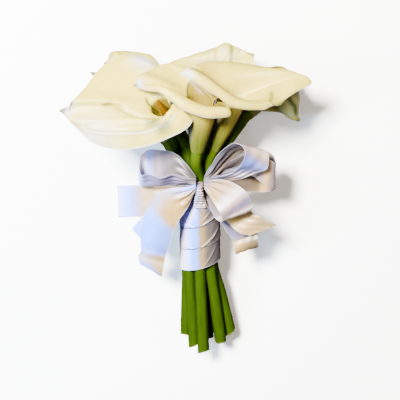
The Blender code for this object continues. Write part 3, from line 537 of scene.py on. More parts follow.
def spathe_grid(bloom, seed, frill):
    """Outer face of a spathe over angle round it and height: a cone wound a
    little more than once round the spadix, a Hermite limb from the throat to
    the rim, and a margin that rolls on as an arc. Both margins run down into
    the throat, one outside the other. The middle has a groove and ends in a
    drawn-out tip, and the rim waves. Returns points, angles and heights."""
    base, length, apex, side, up = bloom_frame(bloom)
    rim = rim_rows(bloom)
    whole = np.zeros_like(rim[:2])
    whole[:, 0] = 360.0
    rim = np.concatenate([rim[-2:] - whole, rim, rim[:2] + whole])
    turn = np.linspace(-bloom["lap"], bloom["lap"], SPATHE_COLUMNS)
    row = curve(rim[:, 0], rim[:, 1:], (turn + 180.0) % 360.0 - 180.0)
    angle = np.radians(turn)
    lap = (angle / pi)[:, None]
    dip = smooth((np.abs(turn) - LAP_START) / LAP_SPAN)[:, None]
    edge = row[:, :3]
    radial = np.cos(angle)[:, None] * apex + np.sin(angle)[:, None] * side
    low = base + BASE_RING * radial
    throat = base + length * up + bloom["throat_radius"] * radial
    u = np.linspace(0.0, 1.0, TUBE_ROWS)[:, None, None]
    tube = (1 - u) * low + u * throat + TUBE_BELLY * u * (1 - u) * radial
    tube = tube + (LAP_SPACE[0] + (LAP_SPACE[1] - LAP_SPACE[0]) * smooth(u)) * lap * radial
    throat = throat + LAP_SPACE[1] * lap * radial
    out = edge - base
    out = unit(out - (out @ up)[:, None] * up)
    start = cos(radians(LIMB_LEAN)) * up + sin(radians(LIMB_LEAN)) * radial
    opened = np.radians(row[:, 3])[:, None]
    finish = np.cos(opened) * up + np.sin(opened) * out
    edge = edge + LAP_SPACE[1] * lap * unit(np.cross(finish, np.cross(out, up)))
    reach = np.linalg.norm(edge - throat, axis=1)[:, None]
    u = np.linspace(0.0, 1.0, LIMB_ROWS)[1:, None, None] * (1.0 - MARGIN_DIP * dip)
    limb = ((2 * u**3 - 3 * u**2 + 1) * throat + (u**3 - 2 * u**2 + u) * (LIMB_PULL[0] * reach * start)
            + (3 * u**2 - 2 * u**3) * edge + (u**3 - u**2) * (LIMB_PULL[1] * reach * finish))
    last = unit(limb[-1] - limb[-2])
    opened = np.arctan2((last * out).sum(-1), last @ up)[:, None]
    v = ((np.arange(ROLL_ROWS) + 0.5) / ROLL_ROWS)[:, None, None]
    tight = 1.0 + 0.25 * swell(turn / 360.0, seed + 1, 5, 2.0, 7.0)[:, None]
    heading = opened + np.radians(row[:, 4])[:, None] * (1.0 - dip) * v ** bloom.get("fold", 1.0) * tight
    roll = np.maximum(row[:, 5][:, None] * (1.0 - dip), 1.0) / ROLL_ROWS
    margin = limb[-1] + np.cumsum((np.cos(heading) * up + np.sin(heading) * out) * roll, axis=0)
    points = np.concatenate([tube, limb, margin])
    along = np.concatenate([np.linspace(0.0, THROAT_RISE, TUBE_ROWS),
                            np.linspace(THROAT_RISE, LIMB_RISE, LIMB_ROWS)[1:],
                            np.linspace(LIMB_RISE, 1.0, ROLL_ROWS + 1)[1:]])[:, None]
    groove = bloom["channel"] * np.exp(-(turn / GROOVE_WIDTH) ** 2) * smooth((along - 0.3) / 0.4)
    groove = groove * (1.0 - 0.6 * smooth((along - 0.75) / 0.25))
    free = 1.0 - dip[:, 0]
    wave = 0.6 * np.sin(4 * angle) + 0.4 * np.sin(6.8 * angle + 1.3)
    wave = bloom["ripple"] * wave * free * along**4
    wave = wave + frill * swell(turn / 360.0, seed, 7, 5.0, 16.0) * free * smooth((along - 0.6) / 0.4)
    rib = RIB_HEIGHT * np.cos(RIBS * angle) * smooth(along / 0.2) * (1.0 - smooth((along - 0.7) / 0.3))
    points = points + grid_normals(points) * (groove + wave + rib)[..., None]
    drawn = np.exp(-(turn / TIP_WIDTH) ** 2) * smooth((along - 0.86) / 0.14) ** 2
    heading = unit(limb[-1] - limb[-4])[SPATHE_COLUMNS // 2]
    points = points + TIP_LENGTH * drawn[..., None] * (heading + 0.25 * up)
    return points, turn, along[:, 0]


def stem_path(bloom, count):
    """Middle line of a stem: a curve through its cut foot, the binding and the
    bloom's base, sampled evenly."""
    base, *_, up = bloom_frame(bloom)
    if bloom["stem_turn"] is None:    # the one in the middle of the binding
        ring = MIDDLE_STEM
    else:
        turn = radians(bloom["stem_turn"])
        ring = STEM_RING * np.array([cos(turn), sin(turn)])
    bound = [np.array([ring[0], y, ring[1]]) for y in STEM_HEIGHTS]
    before = base - up * STEM_LEAD
    foot = np.array(bloom["foot"])
    points = np.stack([foot, 0.45 * foot + 0.55 * bound[0], *bound, before, base - up * GAP])
    keys = np.concatenate([[0.0], np.cumsum(np.linalg.norm(np.diff(points, axis=0), axis=1))])
    return curve(keys, points, np.linspace(0.0, keys[-1], count))


def rings(path, radii):
    """Rings round a path: radii[i, j] is the distance at the i-th point of the
    path and the j-th of the angles round it."""
    along = unit(np.gradient(path, axis=0))
    across = unit(np.cross(along, np.array([0.0, 0.0, 1.0]) + 0.0 * along))
    over = np.cross(across, along)
    turn = np.arange(radii.shape[1]) * 2 * pi / radii.shape[1]
    ring = np.cos(turn)[None, :, None] * across[:, None] + np.sin(turn)[None, :, None] * over[:, None]
    return path[:, None] + radii[..., None] * ring


# Ribbon

def strip_grid(rows, count, columns, seed, wrinkle):
    """A ribbon over length and width: ruled between its two edges, with soft
    random swells. Where the edges run closer together than the ribbon is wide,
    lengthwise pleats, deep enough for a sine of that length, take up the spare
    width near the bow's middle. Returns points, length and places along it."""
    edges = np.array([np.concatenate([seen(*a), seen(*b)]) for a, b in rows])
    middle = 0.5 * (edges[:, :3] + edges[:, 3:])
    keys = np.concatenate([[0.0], np.cumsum(np.linalg.norm(np.diff(middle, axis=0), axis=1))])
    s = np.linspace(0.0, keys[-1], count)
    fine = curve(keys, edges, s)
    v = np.linspace(0.0, 1.0, columns)
    points = fine[:, None, :3] * (1 - v)[None, :, None] + fine[:, None, 3:] * v[None, :, None]
    looped = abs(edges[-1, 0]) < 8.0
    wide = np.linalg.norm(fine[:, 3:] - fine[:, :3], axis=1)
    spare = np.clip(0.98 * RIBBON_WIDTH / wide - 1.0, 0.0, 1.4)
    near = np.minimum(s, keys[-1] - s if looped else s)
    spare = spare * np.exp(-(near / PLEAT_REACH) ** 2)
    deep = wide / (2 * pi * PLEATS) * np.sqrt(4.0 * spare)
    deep = np.convolve(np.pad(deep, 6, mode="edge"), np.ones(13) / 13.0, mode="valid")
    drift = 0.25 * swell(s / 80.0, seed + 3, 3, 1.0, 3.0)
    pleat = deep[:, None] * np.sin(2 * pi * PLEATS * (v[None, :] + 0.1 * drift[:, None]) + seed)
    pleat = pleat * (0.9 + 0.25 * np.sin(2 * pi * v + 2.0 * seed))[None, :]
    soft = wrinkle * (swell(s[:, None] / 120.0 + 0.5 * v[None, :], seed, 5, 1.0, 5.0)
                      + 0.6 * swell(s[:, None] / 60.0 - 0.8 * v[None, :], seed + 7, 5, 1.0, 4.0))
    fade = smooth(s / 12.0) * (smooth((keys[-1] - s) / 12.0) if looped else 1.0)
    points = points + grid_normals(points) * (pleat + soft * fade[:, None])[..., None]
    return points, keys[-1], s


def satin_shade(light):
    """How far a painted light value below 0 goes to the painted shade colour:
    (1 - 10^light) / 0.9, so that equal steps of light look equal."""
    return (1.0 - 10.0 ** np.clip(light, -1.0, 0.0)) / 0.9


def satin_painted_light(keys, across, s, v):
    """Painted light of a ribbon over its length and width: the share of painted
    bluish window light, the painted highlight and the painted shade. Keys of
    (share of the length, cool, light) are joined by lines and smoothed over
    seven rows, and across is the change of both from edge to edge. Light above
    0 is painted highlight, light below it goes to the painted shade."""
    keys = np.array(keys)
    s = s / s[-1]
    painted_window_light = np.interp(s, keys[:, 0], keys[:, 1])
    light = np.interp(s, keys[:, 0], keys[:, 2])
    kernel = np.hanning(7) / np.hanning(7).sum()
    painted_window_light, light = (np.convolve(np.pad(a, 3, mode="edge"), kernel, mode="valid") for a in (painted_window_light, light))
    side = smooth(v / v[-1])[None, :] - 0.5
    painted_window_light, light = painted_window_light[:, None] + across[0] * side, light[:, None] + across[1] * side
    return np.clip(painted_window_light, 0.0, 1.0), np.clip(light, 0.0, 1.0) ** 1.6, satin_shade(light)


def crease(turn, v, at, slant, long, wide):
    """A crease on the wound ribbon: a ridge about 1 high at (angle, height) at,
    long degrees and wide in height, that climbs by slant over its length."""
    off = (turn - at[0] + 180.0) % 360.0 - 180.0
    line = v - at[1] - slant * off / long
    return np.exp(-(off / long) ** 2) * np.exp(-(line / wide) ** 2)


# Meshes

def make_object(name, points, faces, values, uv=None):
    """One object at the origin with its place in the mesh, given in the bouquet
    frame, with named values per point and a UV place per point."""
    mesh = bpy.data.meshes.new(name)
    mesh.from_pydata(lay(points).tolist(), [], faces)
    for key, value in values.items():
        layer = mesh.attributes.new(key, "FLOAT", "POINT")
        layer.data.foreach_set("value", np.ascontiguousarray(value, dtype=np.float32))
    if uv is not None:
        corner = np.zeros(len(mesh.loops), np.int32)
        mesh.loops.foreach_get("vertex_index", corner)
        mesh.uv_layers.new(name="UVMap").data.foreach_set("uv", uv[corner].astype(np.float32).ravel())
    mesh.shade_smooth()
    mesh.set_sharp_from_angle(angle=radians(SHARP_ANGLE))
    obj = bpy.data.objects.new(name, mesh)
    bpy.context.scene.collection.objects.link(obj)
    return obj


def grid_quads(rows, columns, ring_rows=0, ring_columns=0):
    """Quads of a grid of points. A 1 for ring_rows or ring_columns joins its
    last row or column to its first."""
    index = np.arange(rows * columns).reshape(rows, columns)
    index = np.pad(index, ((0, ring_rows), (0, ring_columns)), mode="wrap")
    return np.stack([index[:-1, :-1], index[:-1, 1:], index[1:, 1:], index[1:, :-1]], -1).reshape(-1, 4)


def sheet_faces(rows, columns):
    """Quads of a closed sheet: two grids of points back to back and the four rims."""
    count = rows * columns
    front = grid_quads(rows, columns)
    index = np.arange(count).reshape(rows, columns)
    loop = np.concatenate([index[0, :], index[1:, -1], index[-1, -2::-1], index[-2:0:-1, 0]])
    after = np.roll(loop, -1)
    walls = np.stack([after, loop, loop + count, after + count], -1)
    return np.concatenate([front, front[:, ::-1] + count, walls])


def make_sheet(name, points, thickness, offset, values, uv):
    """A sheet with a thickness: the grid's normals carry one face out by offset
    of it and the other one in by the rest."""
    rows, columns = points.shape[:2]
    normal = grid_normals(points) * np.broadcast_to(thickness, (rows, columns))[..., None]
    both = np.concatenate([(points + normal * offset).reshape(-1, 3),
                           (points - normal * (1.0 - offset)).reshape(-1, 3)])
    double = {key: np.concatenate([v.ravel(), v.ravel()]) for key, v in values.items()}
    count = rows * columns
    double["inner"] = np.concatenate([np.zeros(count), np.ones(count)])
    # How far each face looks left, for the painted window light
    aside = 0.5 * grid_normals(points)[..., 0].ravel()
    double["left"] = np.concatenate([0.5 - aside, 0.5 + aside])
    uv = np.concatenate([uv.reshape(-1, 2), uv.reshape(-1, 2)])
    return make_object(name, both, sheet_faces(rows, columns).tolist(), double, uv)


def make_round(name, ring_points, values, uv=None):
    """A solid from rings of points, each end closed by a fan to its middle."""
    count, sides = ring_points.shape[:2]
    ring = np.arange(sides)
    after, low, last = np.roll(ring, -1), count * sides, (count - 1) * sides
    fans = np.concatenate([np.stack([after, ring, 0 * ring + low], -1),
                           np.stack([last + ring, last + after, 0 * ring + low + 1], -1)])
    faces = grid_quads(count, sides, 0, 1).tolist() + fans.tolist()
    points = np.concatenate([ring_points.reshape(-1, 3), [ring_points[0].mean(0)], [ring_points[-1].mean(0)]])
    full = {key: np.concatenate([v.ravel(), [v[0].mean(), v[-1].mean()]]) for key, v in values.items()}
    if uv is not None:
        flat = uv.reshape(-1, 2)
        uv = np.concatenate([flat, [flat[0]], [flat[-1]]])
    return make_object(name, points, faces, full, uv)


def dress(obj, material, node):
    """Material, body and hidden CAD node of a finished piece."""
    obj.data.materials.append(material)
    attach(obj, "root")
    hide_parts(node)
    return obj


# Shader parts

class Tree:
    """A node tree in the making. Each method adds nodes and returns an output
    of the last one. What goes in is a socket or a plain value."""

    def __init__(self, tree):
        self.tree = tree

    def put(self, value, socket):
        """Links one socket to another, or sets its value."""
        if isinstance(value, bpy.types.NodeSocket):
            self.tree.links.new(value, socket)
        else:
            socket.default_value = value

    def node(self, kind, values=(), **settings):
        """A node of a kind, with its settings and the values of its inputs."""
        node = self.tree.nodes.new("ShaderNode" + kind)
        for key, value in settings.items():
            setattr(node, key, value)
        for key, value in dict(values).items():
            self.put(value, node.inputs[key])
        return node

    def math(self, operation, a, b, clamp=False):
        """One step of arithmetic, clamped to 0 to 1 if asked."""
        return self.node("Math", {0: a, 1: b}, operation=operation, use_clamp=clamp).outputs[0]

    def plus(self, a, b, clamp=False):
        return self.math("ADD", a, b, clamp)

    def minus(self, a, b):
        return self.math("SUBTRACT", a, b)

    def times(self, a, b, clamp=False):
        return self.math("MULTIPLY", a, b, clamp)

    def line(self, value, slope, start):
        """start + slope * value"""
        return self.plus(self.times(value, slope), start)

    def ramp(self, value, low, high):
        """0 below low to 1 above high, with soft ends."""
        return self.node("MapRange", {"Value": value, "From Min": low, "From Max": high},
                         interpolation_type="SMOOTHSTEP").outputs["Result"]


def new_group(name, **inputs):
    """Node group with a vector input called Place, float inputs with these
    defaults, and a float output called Mask. Returns it with both ends."""
    group = bpy.data.node_groups.new(name, "ShaderNodeTree")
    group.interface.new_socket(name="Place", in_out="INPUT", socket_type="NodeSocketVector")
    for key, value in inputs.items():
        socket = group.interface.new_socket(name=key, in_out="INPUT", socket_type="NodeSocketFloat")
        socket.default_value = value
    group.interface.new_socket(name="Mask", in_out="OUTPUT", socket_type="NodeSocketFloat")
    given = group.nodes.new("NodeGroupInput").outputs
    return Tree(group), given, group.nodes.new("NodeGroupOutput").inputs["Mask"]


def streaks_group(name):
    """Fine streaks that run along a piece: noise over its UV place, stretched
    by Along against Across. Mask is 0 to 1."""
    group, given, mask = new_group(name, Across=40.0, Along=2.0, Contrast=1.0)
    split = group.node("SeparateXYZ", {0: given["Place"]}).outputs
    place = group.node("CombineXYZ", {0: group.times(split[0], given["Across"]),
                                      1: group.times(split[1], given["Along"])}).outputs[0]
    noise = group.node("TexNoise", {"Vector": place, "Scale": 1.0, "Detail": 3.0}).outputs[0]
    spread = group.times(group.minus(noise, 0.5), given["Contrast"])
    group.put(group.plus(spread, 0.5, clamp=True), mask)
    return group.tree


def blotch_group(name):
    """Soft blotches over Object coordinates: two sizes of noise, the finer one
    weaker, and more apart with Contrast. Mask is 0 to 1."""
    group, given, mask = new_group(name, Scale=20.0, Contrast=1.5)
    parts = []
    for factor in (1.0, 3.7):
        scale = group.times(given["Scale"], factor)
        noise = group.node("TexNoise", {"Vector": given["Place"], "Scale": scale, "Detail": 2.0}).outputs[0]
        parts.append(group.times(group.minus(noise, 0.5), 0.7 / factor**0.5))
    spread = group.times(group.plus(*parts), given["Contrast"])
    group.put(group.plus(spread, 0.5, clamp=True), mask)
    return group.tree


class Skin(Tree):
    """A Principled material in the making, with plain values for its shader."""

    def __init__(self, name, **values):
        self.material = bpy.data.materials.new(name)
        self.material.use_nodes = True
        super().__init__(self.material.node_tree)
        self.shader = self.tree.nodes["Principled BSDF"].inputs
        for key, value in values.items():
            self.shader[key.replace("_", " ")].default_value = value
        self.places = self.node("TexCoord").outputs

    def mask(self, name, make, place, **values):
        """Mask of the group of that name, which make makes at its first use."""
        group = bpy.data.node_groups.get(name) or make(name)
        return self.node("Group", {"Place": self.places[place], **values}, node_tree=group).outputs["Mask"]

    def streaks(self, across, along, contrast):
        return self.mask("Fine streaks", streaks_group, "UV",
                         Across=across, Along=along, Contrast=contrast)

    def blotches(self, scale, contrast):
        return self.mask("Soft blotches", blotch_group, "Object", Scale=scale, Contrast=contrast)

    def value(self, name):
        """A named value of the piece's points."""
        return self.node("Attribute", attribute_name=name).outputs["Fac"]

    def blend(self, factor, a, b):
        """Colour a where the factor is 0 to colour b where it is 1. The node's
        colours are its inputs 6 and 7 and its output 2."""
        a, b = (c if isinstance(c, bpy.types.NodeSocket) else (*c[:3], 1.0) for c in (a, b))
        return self.node("Mix", {0: factor, 6: a, 7: b}, data_type="RGBA").outputs[2]

    def tint(self, colour, tone, mask, strength=1.0):
        """The colour with a tone mixed in by a mask times a strength."""
        if strength != 1.0:
            mask = self.times(mask, strength)
        return self.blend(mask, colour, tone)

    def finish(self, colour, roughness, relief=None, strength=0.0, distance=0.0):
        """Gives the shader its colour, its roughness and, if any, its relief."""
        self.put(colour, self.shader["Base Color"])
        self.put(roughness, self.shader["Roughness"])
        if relief is not None:
            bump = self.node("Bump", {"Height": relief, "Strength": strength, "Distance": distance})
            self.put(bump.outputs[0], self.shader["Normal"])
        return self.material


def petal_material():
    """Waxy cream white, faintly mottled, with faint veins that run up from the
    foot to the rim: tan down in the throat and on the tube, partly painted
    shade; green at the tube's foot and on the tip, and painted grey-green shade
    in the creases and lines; and painted highlight and bluish window light in
    the pale patches, along the rim and where the rim and the foot face left."""
    c = bpy.context.scene.bouquet_colours
    wax = Skin("petal_wax", Subsurface_Weight=0.25, Subsurface_Scale=0.003,
               Subsurface_Radius=(1.0, 0.8, 0.35), Specular_IOR_Level=0.3)
    rise, inner = wax.value("rise"), wax.value("inner")
    outer = wax.minus(1.0, inner)
    soft, mottle = wax.blotches(16.0, 2.6), wax.blotches(42.0, 3.0)
    veins, broad = wax.streaks(95.0, 1.6, 2.2), wax.streaks(14.0, 1.2, 2.2)
    colour = wax.blend(soft, c.petal_white, c.petal_cream)
    colour = wax.tint(colour, c.petal_cream, broad, 0.25)
    colour = wax.tint(colour, c.petal_tan_and_shade, veins, 0.1)
    colour = wax.tint(colour, c.petal_green, mottle, 0.16)
    # Tan down in the throat and on the tube's outside: partly the spathe's own colour, partly painted shade.
    colour = wax.tint(colour, c.petal_tan_and_shade, wax.times(wax.value("deep"), inner), 0.95)
    tube = wax.minus(1.0, wax.ramp(rise, 0.1, 0.42))
    colour = wax.tint(colour, c.petal_tan_and_shade, wax.times(tube, outer), 0.7)
    # Painted light: bluish white window light where the rims and the tube's foot face left, and painted
    # highlight in the pale patches and along the rim.
    low = wax.minus(wax.ramp(rise, 0.02, 0.12), wax.ramp(rise, 0.14, 0.24))
    ends = wax.plus(wax.ramp(rise, 0.62, 0.8), wax.times(low, outer))
    facing = wax.times(wax.times(wax.ramp(wax.value("left"), 0.7, 1.0), ends), 0.55)
    colour = wax.tint(colour, c.petal_painted_light, wax.math("MAXIMUM", facing, wax.value("pale")))
    foot = wax.minus(1.0, wax.ramp(rise, 0.03, 0.3))
    foot = wax.times(wax.times(foot, wax.line(broad, 0.4, 0.7)), outer, clamp=True)
    colour = wax.tint(colour, c.petal_green, foot)
    # The green marks: the tip's own green, and painted grey-green shade in the creases, throat lines and
    # patches.
    colour = wax.tint(colour, c.petal_green, wax.value("green"))
    relief = wax.plus(veins, wax.times(broad, 0.8))
    return wax.finish(colour, wax.line(soft, 0.1, 0.4), relief, 0.2, 0.0003)


def spadix_material():
    """Orange yellow grains, with painted shade in the hollows between the florets."""
    c = bpy.context.scene.bouquet_colours
    skin = Skin("spadix_grain", Specular_IOR_Level=0.0)
    grain = skin.blotches(700.0, 2.5)
    colour = skin.blend(grain, c.spadix_dark_and_shade, c.spadix_light)
    # Painted shade in the hollows between the florets
    colour = skin.blend(skin.value("floret"), c.spadix_dark_and_shade, colour)
    return skin.finish(colour, 0.8, grain, 0.5, 0.0003)


def stem_material():
    """Smooth fresh green with lighter fibres along it, the petals' green up at
    the bloom, a little painted light where it faces left, and a pale wet cut
    end with green pores."""
    c = bpy.context.scene.bouquet_colours
    skin = Skin("stem_skin", Specular_IOR_Level=0.02)
    fibres, broad = skin.streaks(34.0, 14.0, 2.6), skin.streaks(6.0, 5.0, 2.4)
    soft, pores = skin.blotches(26.0, 2.0), skin.blotches(900.0, 4.0)
    mixed = skin.plus(skin.times(soft, 0.5), skin.times(broad, 0.5))
    colour = skin.blend(mixed, c.stem_dark, c.stem_light)
    colour = skin.tint(colour, c.stem_light, fibres, 0.45)
    colour = skin.tint(colour, c.petal_green, skin.ramp(skin.value("rise"), 0.9, 1.0))
    # Painted light where the stem faces left
    colour = skin.tint(colour, c.stem_light, skin.ramp(skin.value("left"), 0.7, 1.0), 0.12)
    cut = skin.value("cut")
    colour = skin.tint(colour, skin.blend(pores, c.stem_cut, c.stem_light), cut)
    relief = skin.plus(fibres, skin.times(pores, cut))
    return skin.finish(colour, skin.line(broad, 0.15, 0.45), relief, 0.5, 0.0005)


def satin_material():
    """White satin: a close weave of fine floats along the ribbon and a duller
    woven edge, under painted light: bands of painted bluish window light or
    warm lamp light, painted highlight and painted shade, by the values
    painted_window_light, painted_highlight and painted_shade of the piece."""
    c = bpy.context.scene.bouquet_colours
    satin = Skin("ribbon_satin", Specular_IOR_Level=0.35)
    floats, slub = satin.streaks(3000.0, 260.0, 2.0), satin.streaks(90.0, 14.0, 2.0)
    soft = satin.blotches(18.0, 1.6)
    woven_edge = satin.value("woven_edge")
    # Painted light: the warm lamp or bluish window tint, then painted highlight and painted shade
    side = satin.plus(satin.times(satin.value("painted_window_light"), 0.84), satin.times(soft, 0.16))
    colour = satin.blend(satin.ramp(side, 0.1, 0.9), c.satin_painted_lamp_light, c.satin_painted_window_light)
    colour = satin.tint(colour, c.satin_painted_highlight, satin.value("painted_highlight"), 0.9)
    colour = satin.tint(colour, c.satin_shade, satin.value("painted_shade"))
    colour = satin.tint(colour, c.satin_edge, woven_edge, 0.4)
    gloss = satin.plus(satin.line(slub, 0.05, 0.38), satin.times(woven_edge, 0.2))
    relief = satin.plus(floats, satin.times(slub, 0.6))
    return satin.finish(colour, gloss, relief, 0.1, 0.0002)


# What a user would change

def colour_property(name, description, value):
    """A colour with its default."""
    return bpy.props.FloatVectorProperty(name=name, description=description, subtype="COLOR", size=3,
                                         min=0.0, max=1.0, default=value)


def length_property(name, description, millimetres):
    """A length in metres with its default given in millimetres."""
    return bpy.props.FloatProperty(name=name, description=description, unit="LENGTH", min=0.0,
                                   default=millimetres / 1000.0)


class BouquetColours(bpy.types.PropertyGroup):
    """Colours of the blooms, the stems, the ribbon and the floor."""
    petal_white: colour_property("Petal white", "The lightest part of a spathe", (0.45, 0.375, 0.06))
    petal_cream: colour_property("Petal cream", "The creamy part of a spathe", (0.45, 0.335, 0.03))
    # Painted highlight and painted bluish window light on the spathes
    petal_painted_light: colour_property("Petal pale", "The bluish white rims and patches", (0.37, 0.39, 0.49))
    # Partly the spathe's own tan, partly painted shade in the throat and on the tube
    petal_tan_and_shade: colour_property("Throat", "The tan down in a spathe and on its tube", (0.13, 0.087, 0.004))
    # Also painted grey-green shade in the creases, lines and patches
    petal_green: colour_property("Petal green", "A spathe's foot, tip and creases", (0.028, 0.045, 0.001))
    spadix_light: colour_property("Spadix light", "Grains of the spadix", (0.15, 0.072, 0.0))
    # Also painted shade in the hollows between the florets
    spadix_dark_and_shade: colour_property("Spadix deep", "Hollows of the spadix", (0.08, 0.032, 0.0))
    # Also painted light where a stem faces left
    stem_light: colour_property("Stem light", "The lighter streaks of a stem", (0.014, 0.031, 0.0003))
    stem_dark: colour_property("Stem dark", "The darker part of a stem", (0.006, 0.012, 0.0001))
    stem_cut: colour_property("Cut end", "The cut face of a stem", (0.07, 0.09, 0.012))
    # Painted light: the white satin as lit by the bluish window
    satin_painted_window_light: colour_property("Satin, cool", "The satin where its gloss is bluish", (0.09, 0.22, 0.92))
    # Painted light: the white satin as lit by the warm lamp
    satin_painted_lamp_light: colour_property("Satin, warm", "The satin where its gloss is warm", (0.28, 0.168, 0.05))
    # Painted highlight
    satin_painted_highlight: colour_property("Satin, light", "The brightest bands of its gloss", (0.85, 0.81, 0.90))
    # Painted shade
    satin_shade: colour_property("Satin, shade", "The satin in loops and folds", (0.026, 0.025, 0.025))
    satin_edge: colour_property("Woven edge", "The ribbon's woven edges", (0.28, 0.28, 0.36))
    floor: colour_property("Floor", "The pale floor", (0.96, 0.96, 0.96))


class BouquetSizes(bpy.types.PropertyGroup):
    """Thicknesses and depths of the fine forms."""
    petal_foot: length_property("Petal thickness", "Thickness of a spathe in its tube", 1.2)
    petal_rim: length_property("Rim thickness", "Thickness of a spathe at its rim", 0.5)
    frill: length_property("Frill", "How far a spathe's rim waves", 0.8)
    ribbon: length_property("Ribbon thickness", "Thickness of the satin ribbon", 0.4)
    wrinkle: length_property("Wrinkle", "Depth of the bow's soft wrinkles", 0.45)
    crease: length_property("Crease", "Height of the creases on the wound ribbon", 1.7)
    floret: length_property("Floret", "Height of the spadix's florets", 0.45)


# Operators

class BOUQUET_OT_spathes(bpy.types.Operator):
    """Make the eight spathes, thinner towards the rim, with their tones and their painted light and shade"""
    bl_idname = "bouquet.spathes"
    bl_label = "Spathes"

    def execute(self, context):
        sizes = context.scene.bouquet_sizes
        material = petal_material()
        for seed, (name, bloom) in enumerate(BLOOMS.items()):
            points, turn, rise = spathe_grid(bloom, 20 + seed, 1000.0 * sizes.frill)
            points, green, pale = fold_spathe(points, turn, rise, FOLDS.get(name, ()))
            rise, turn = np.meshgrid(rise, turn, indexing="ij")
            thin = smooth((rise - 0.3) / 0.65)
            thick = 1000.0 * (sizes.petal_foot + (sizes.petal_rim - sizes.petal_foot) * thin)
            tip = np.exp(-(turn / 8.0) ** 2) * smooth((rise - 0.82) / 0.18)
            low, high = THROATS.get(name, PLAIN_THROAT)
            limit = low + (high - low) * np.abs(turn) / 180.0
            # The throat's tan (deep) is partly painted shade; pale adds a painted highlight line along the
            # rim; green adds the tip's own green.
            values = {"rise": rise,
                      "green": np.maximum(green, tip),
                      "pale": np.maximum(pale, 0.6 * smooth((rise - 0.965) / 0.025)),
                      "deep": 1.0 - smooth((rise - limit + 0.03) / 0.06)}
            uv = np.stack([turn / 360.0 + 0.5 + 3.0 * seed, rise], -1)
            obj = make_sheet("petal_" + name, points, thick, 0.0, values, uv)
            dress(obj, material, "spathe_" + name)
        return {"FINISHED"}


class BOUQUET_OT_spadices(bpy.types.Operator):
    """Make the spadices: a round-ended finger with florets set in crossing
    spirals, each a bump where two waves round and along it meet"""
    bl_idname = "bouquet.spadices"
    bl_label = "Spadices"

    def execute(self, context):
        high = 1000.0 * context.scene.bouquet_sizes.floret
        material = spadix_material()
        for name, bloom in BLOOMS.items():
            base, *_, up = bloom_frame(bloom)
            u = np.linspace(0.0, 1.0, int(bloom["spadix"] * 2.0))
            turn = np.arange(SPADIX_SIDES) * 2 * pi / SPADIX_SIDES
            radius = SPADIX_RADIUS * np.sqrt(1.0 - u**3.2) * (0.62 + 0.38 * smooth(u / 0.3))
            radius[-1] = 0.25
            s = (u * bloom["spadix"])[:, None]
            floret = np.cos(8 * turn[None, :] + 2.1 * s) * np.cos(5 * turn[None, :] - 3.4 * s)
            floret = np.abs(floret) ** 0.7
            radii = radius[:, None] - high * (1.0 - floret) * smooth(radius / 2.5)[:, None]
            path = base + up * (SPADIX_FOOT + GAP + bloom["spadix"] * u[:, None])
            obj = make_round("spadix_finger_" + name, rings(path, radii), {"floret": floret})
            dress(obj, material, "spadix_" + name)
        return {"FINISHED"}


class BOUQUET_OT_stems(bpy.types.Operator):
    """Make the stems: a tube along each stem's middle line with shallow ridges,
    wider at the foot, and a slanting cut there"""
    bl_idname = "bouquet.stems"
    bl_label = "Stems"

    def execute(self, context):
        material = stem_material()
        for seed, (name, bloom) in enumerate(BLOOMS.items()):
            path = stem_path(bloom, STEM_ROWS)
            u = np.linspace(0.0, 1.0, STEM_ROWS)[:, None]
            turn = (np.arange(STEM_SIDES) * 2 * pi / STEM_SIDES)[None, :]
            radius = STEM_RADIUS + (STEM_FOOT - STEM_RADIUS) * (1.0 - smooth(u / 0.35))
            ridge = 0.14 * np.cos(5 * turn + seed) + 0.08 * np.cos(11 * turn + 2.0 * seed)
            soft = 0.18 * swell(u + 0.3 * np.sin(turn), seed + 60, 4, 1.0, 4.0)
            radii = radius + (ridge + soft) * smooth((1.0 - u) / 0.05) - 0.15
            tube = rings(path, radii)
            slope = np.random.default_rng(seed + 4).uniform(-0.45, 0.45, 2)
            near = (1.0 - smooth(u / 0.03))[..., None]
            shift = slope[0] * np.cos(turn) + slope[1] * np.sin(turn)
            along = unit(path[4] - path[0])
            tube = tube + near * (shift * radii)[..., None] * along
            face = path[0] + (tube[0] - path[0]) * np.array([0.25, 0.5, 0.72, 0.9])[:, None, None]
            tube = np.concatenate([face, tube])
            cut = np.zeros(tube.shape[:2])
            cut[:len(face) + 1] = 1.0
            rise = np.concatenate([np.zeros((len(face), STEM_SIDES)), u + 0.0 * turn])
            uv = np.stack([turn / (2 * pi) + 0.0 * rise + seed, rise], -1)
            # How far the stem faces left, for its painted light
            left = 0.5 - 0.5 * np.cos(turn) + 0.0 * rise
            obj = make_round("stem_tube_" + name, tube, {"cut": cut, "rise": rise, "left": left}, uv)
            dress(obj, material, "stem_" + name)
        return {"FINISHED"}


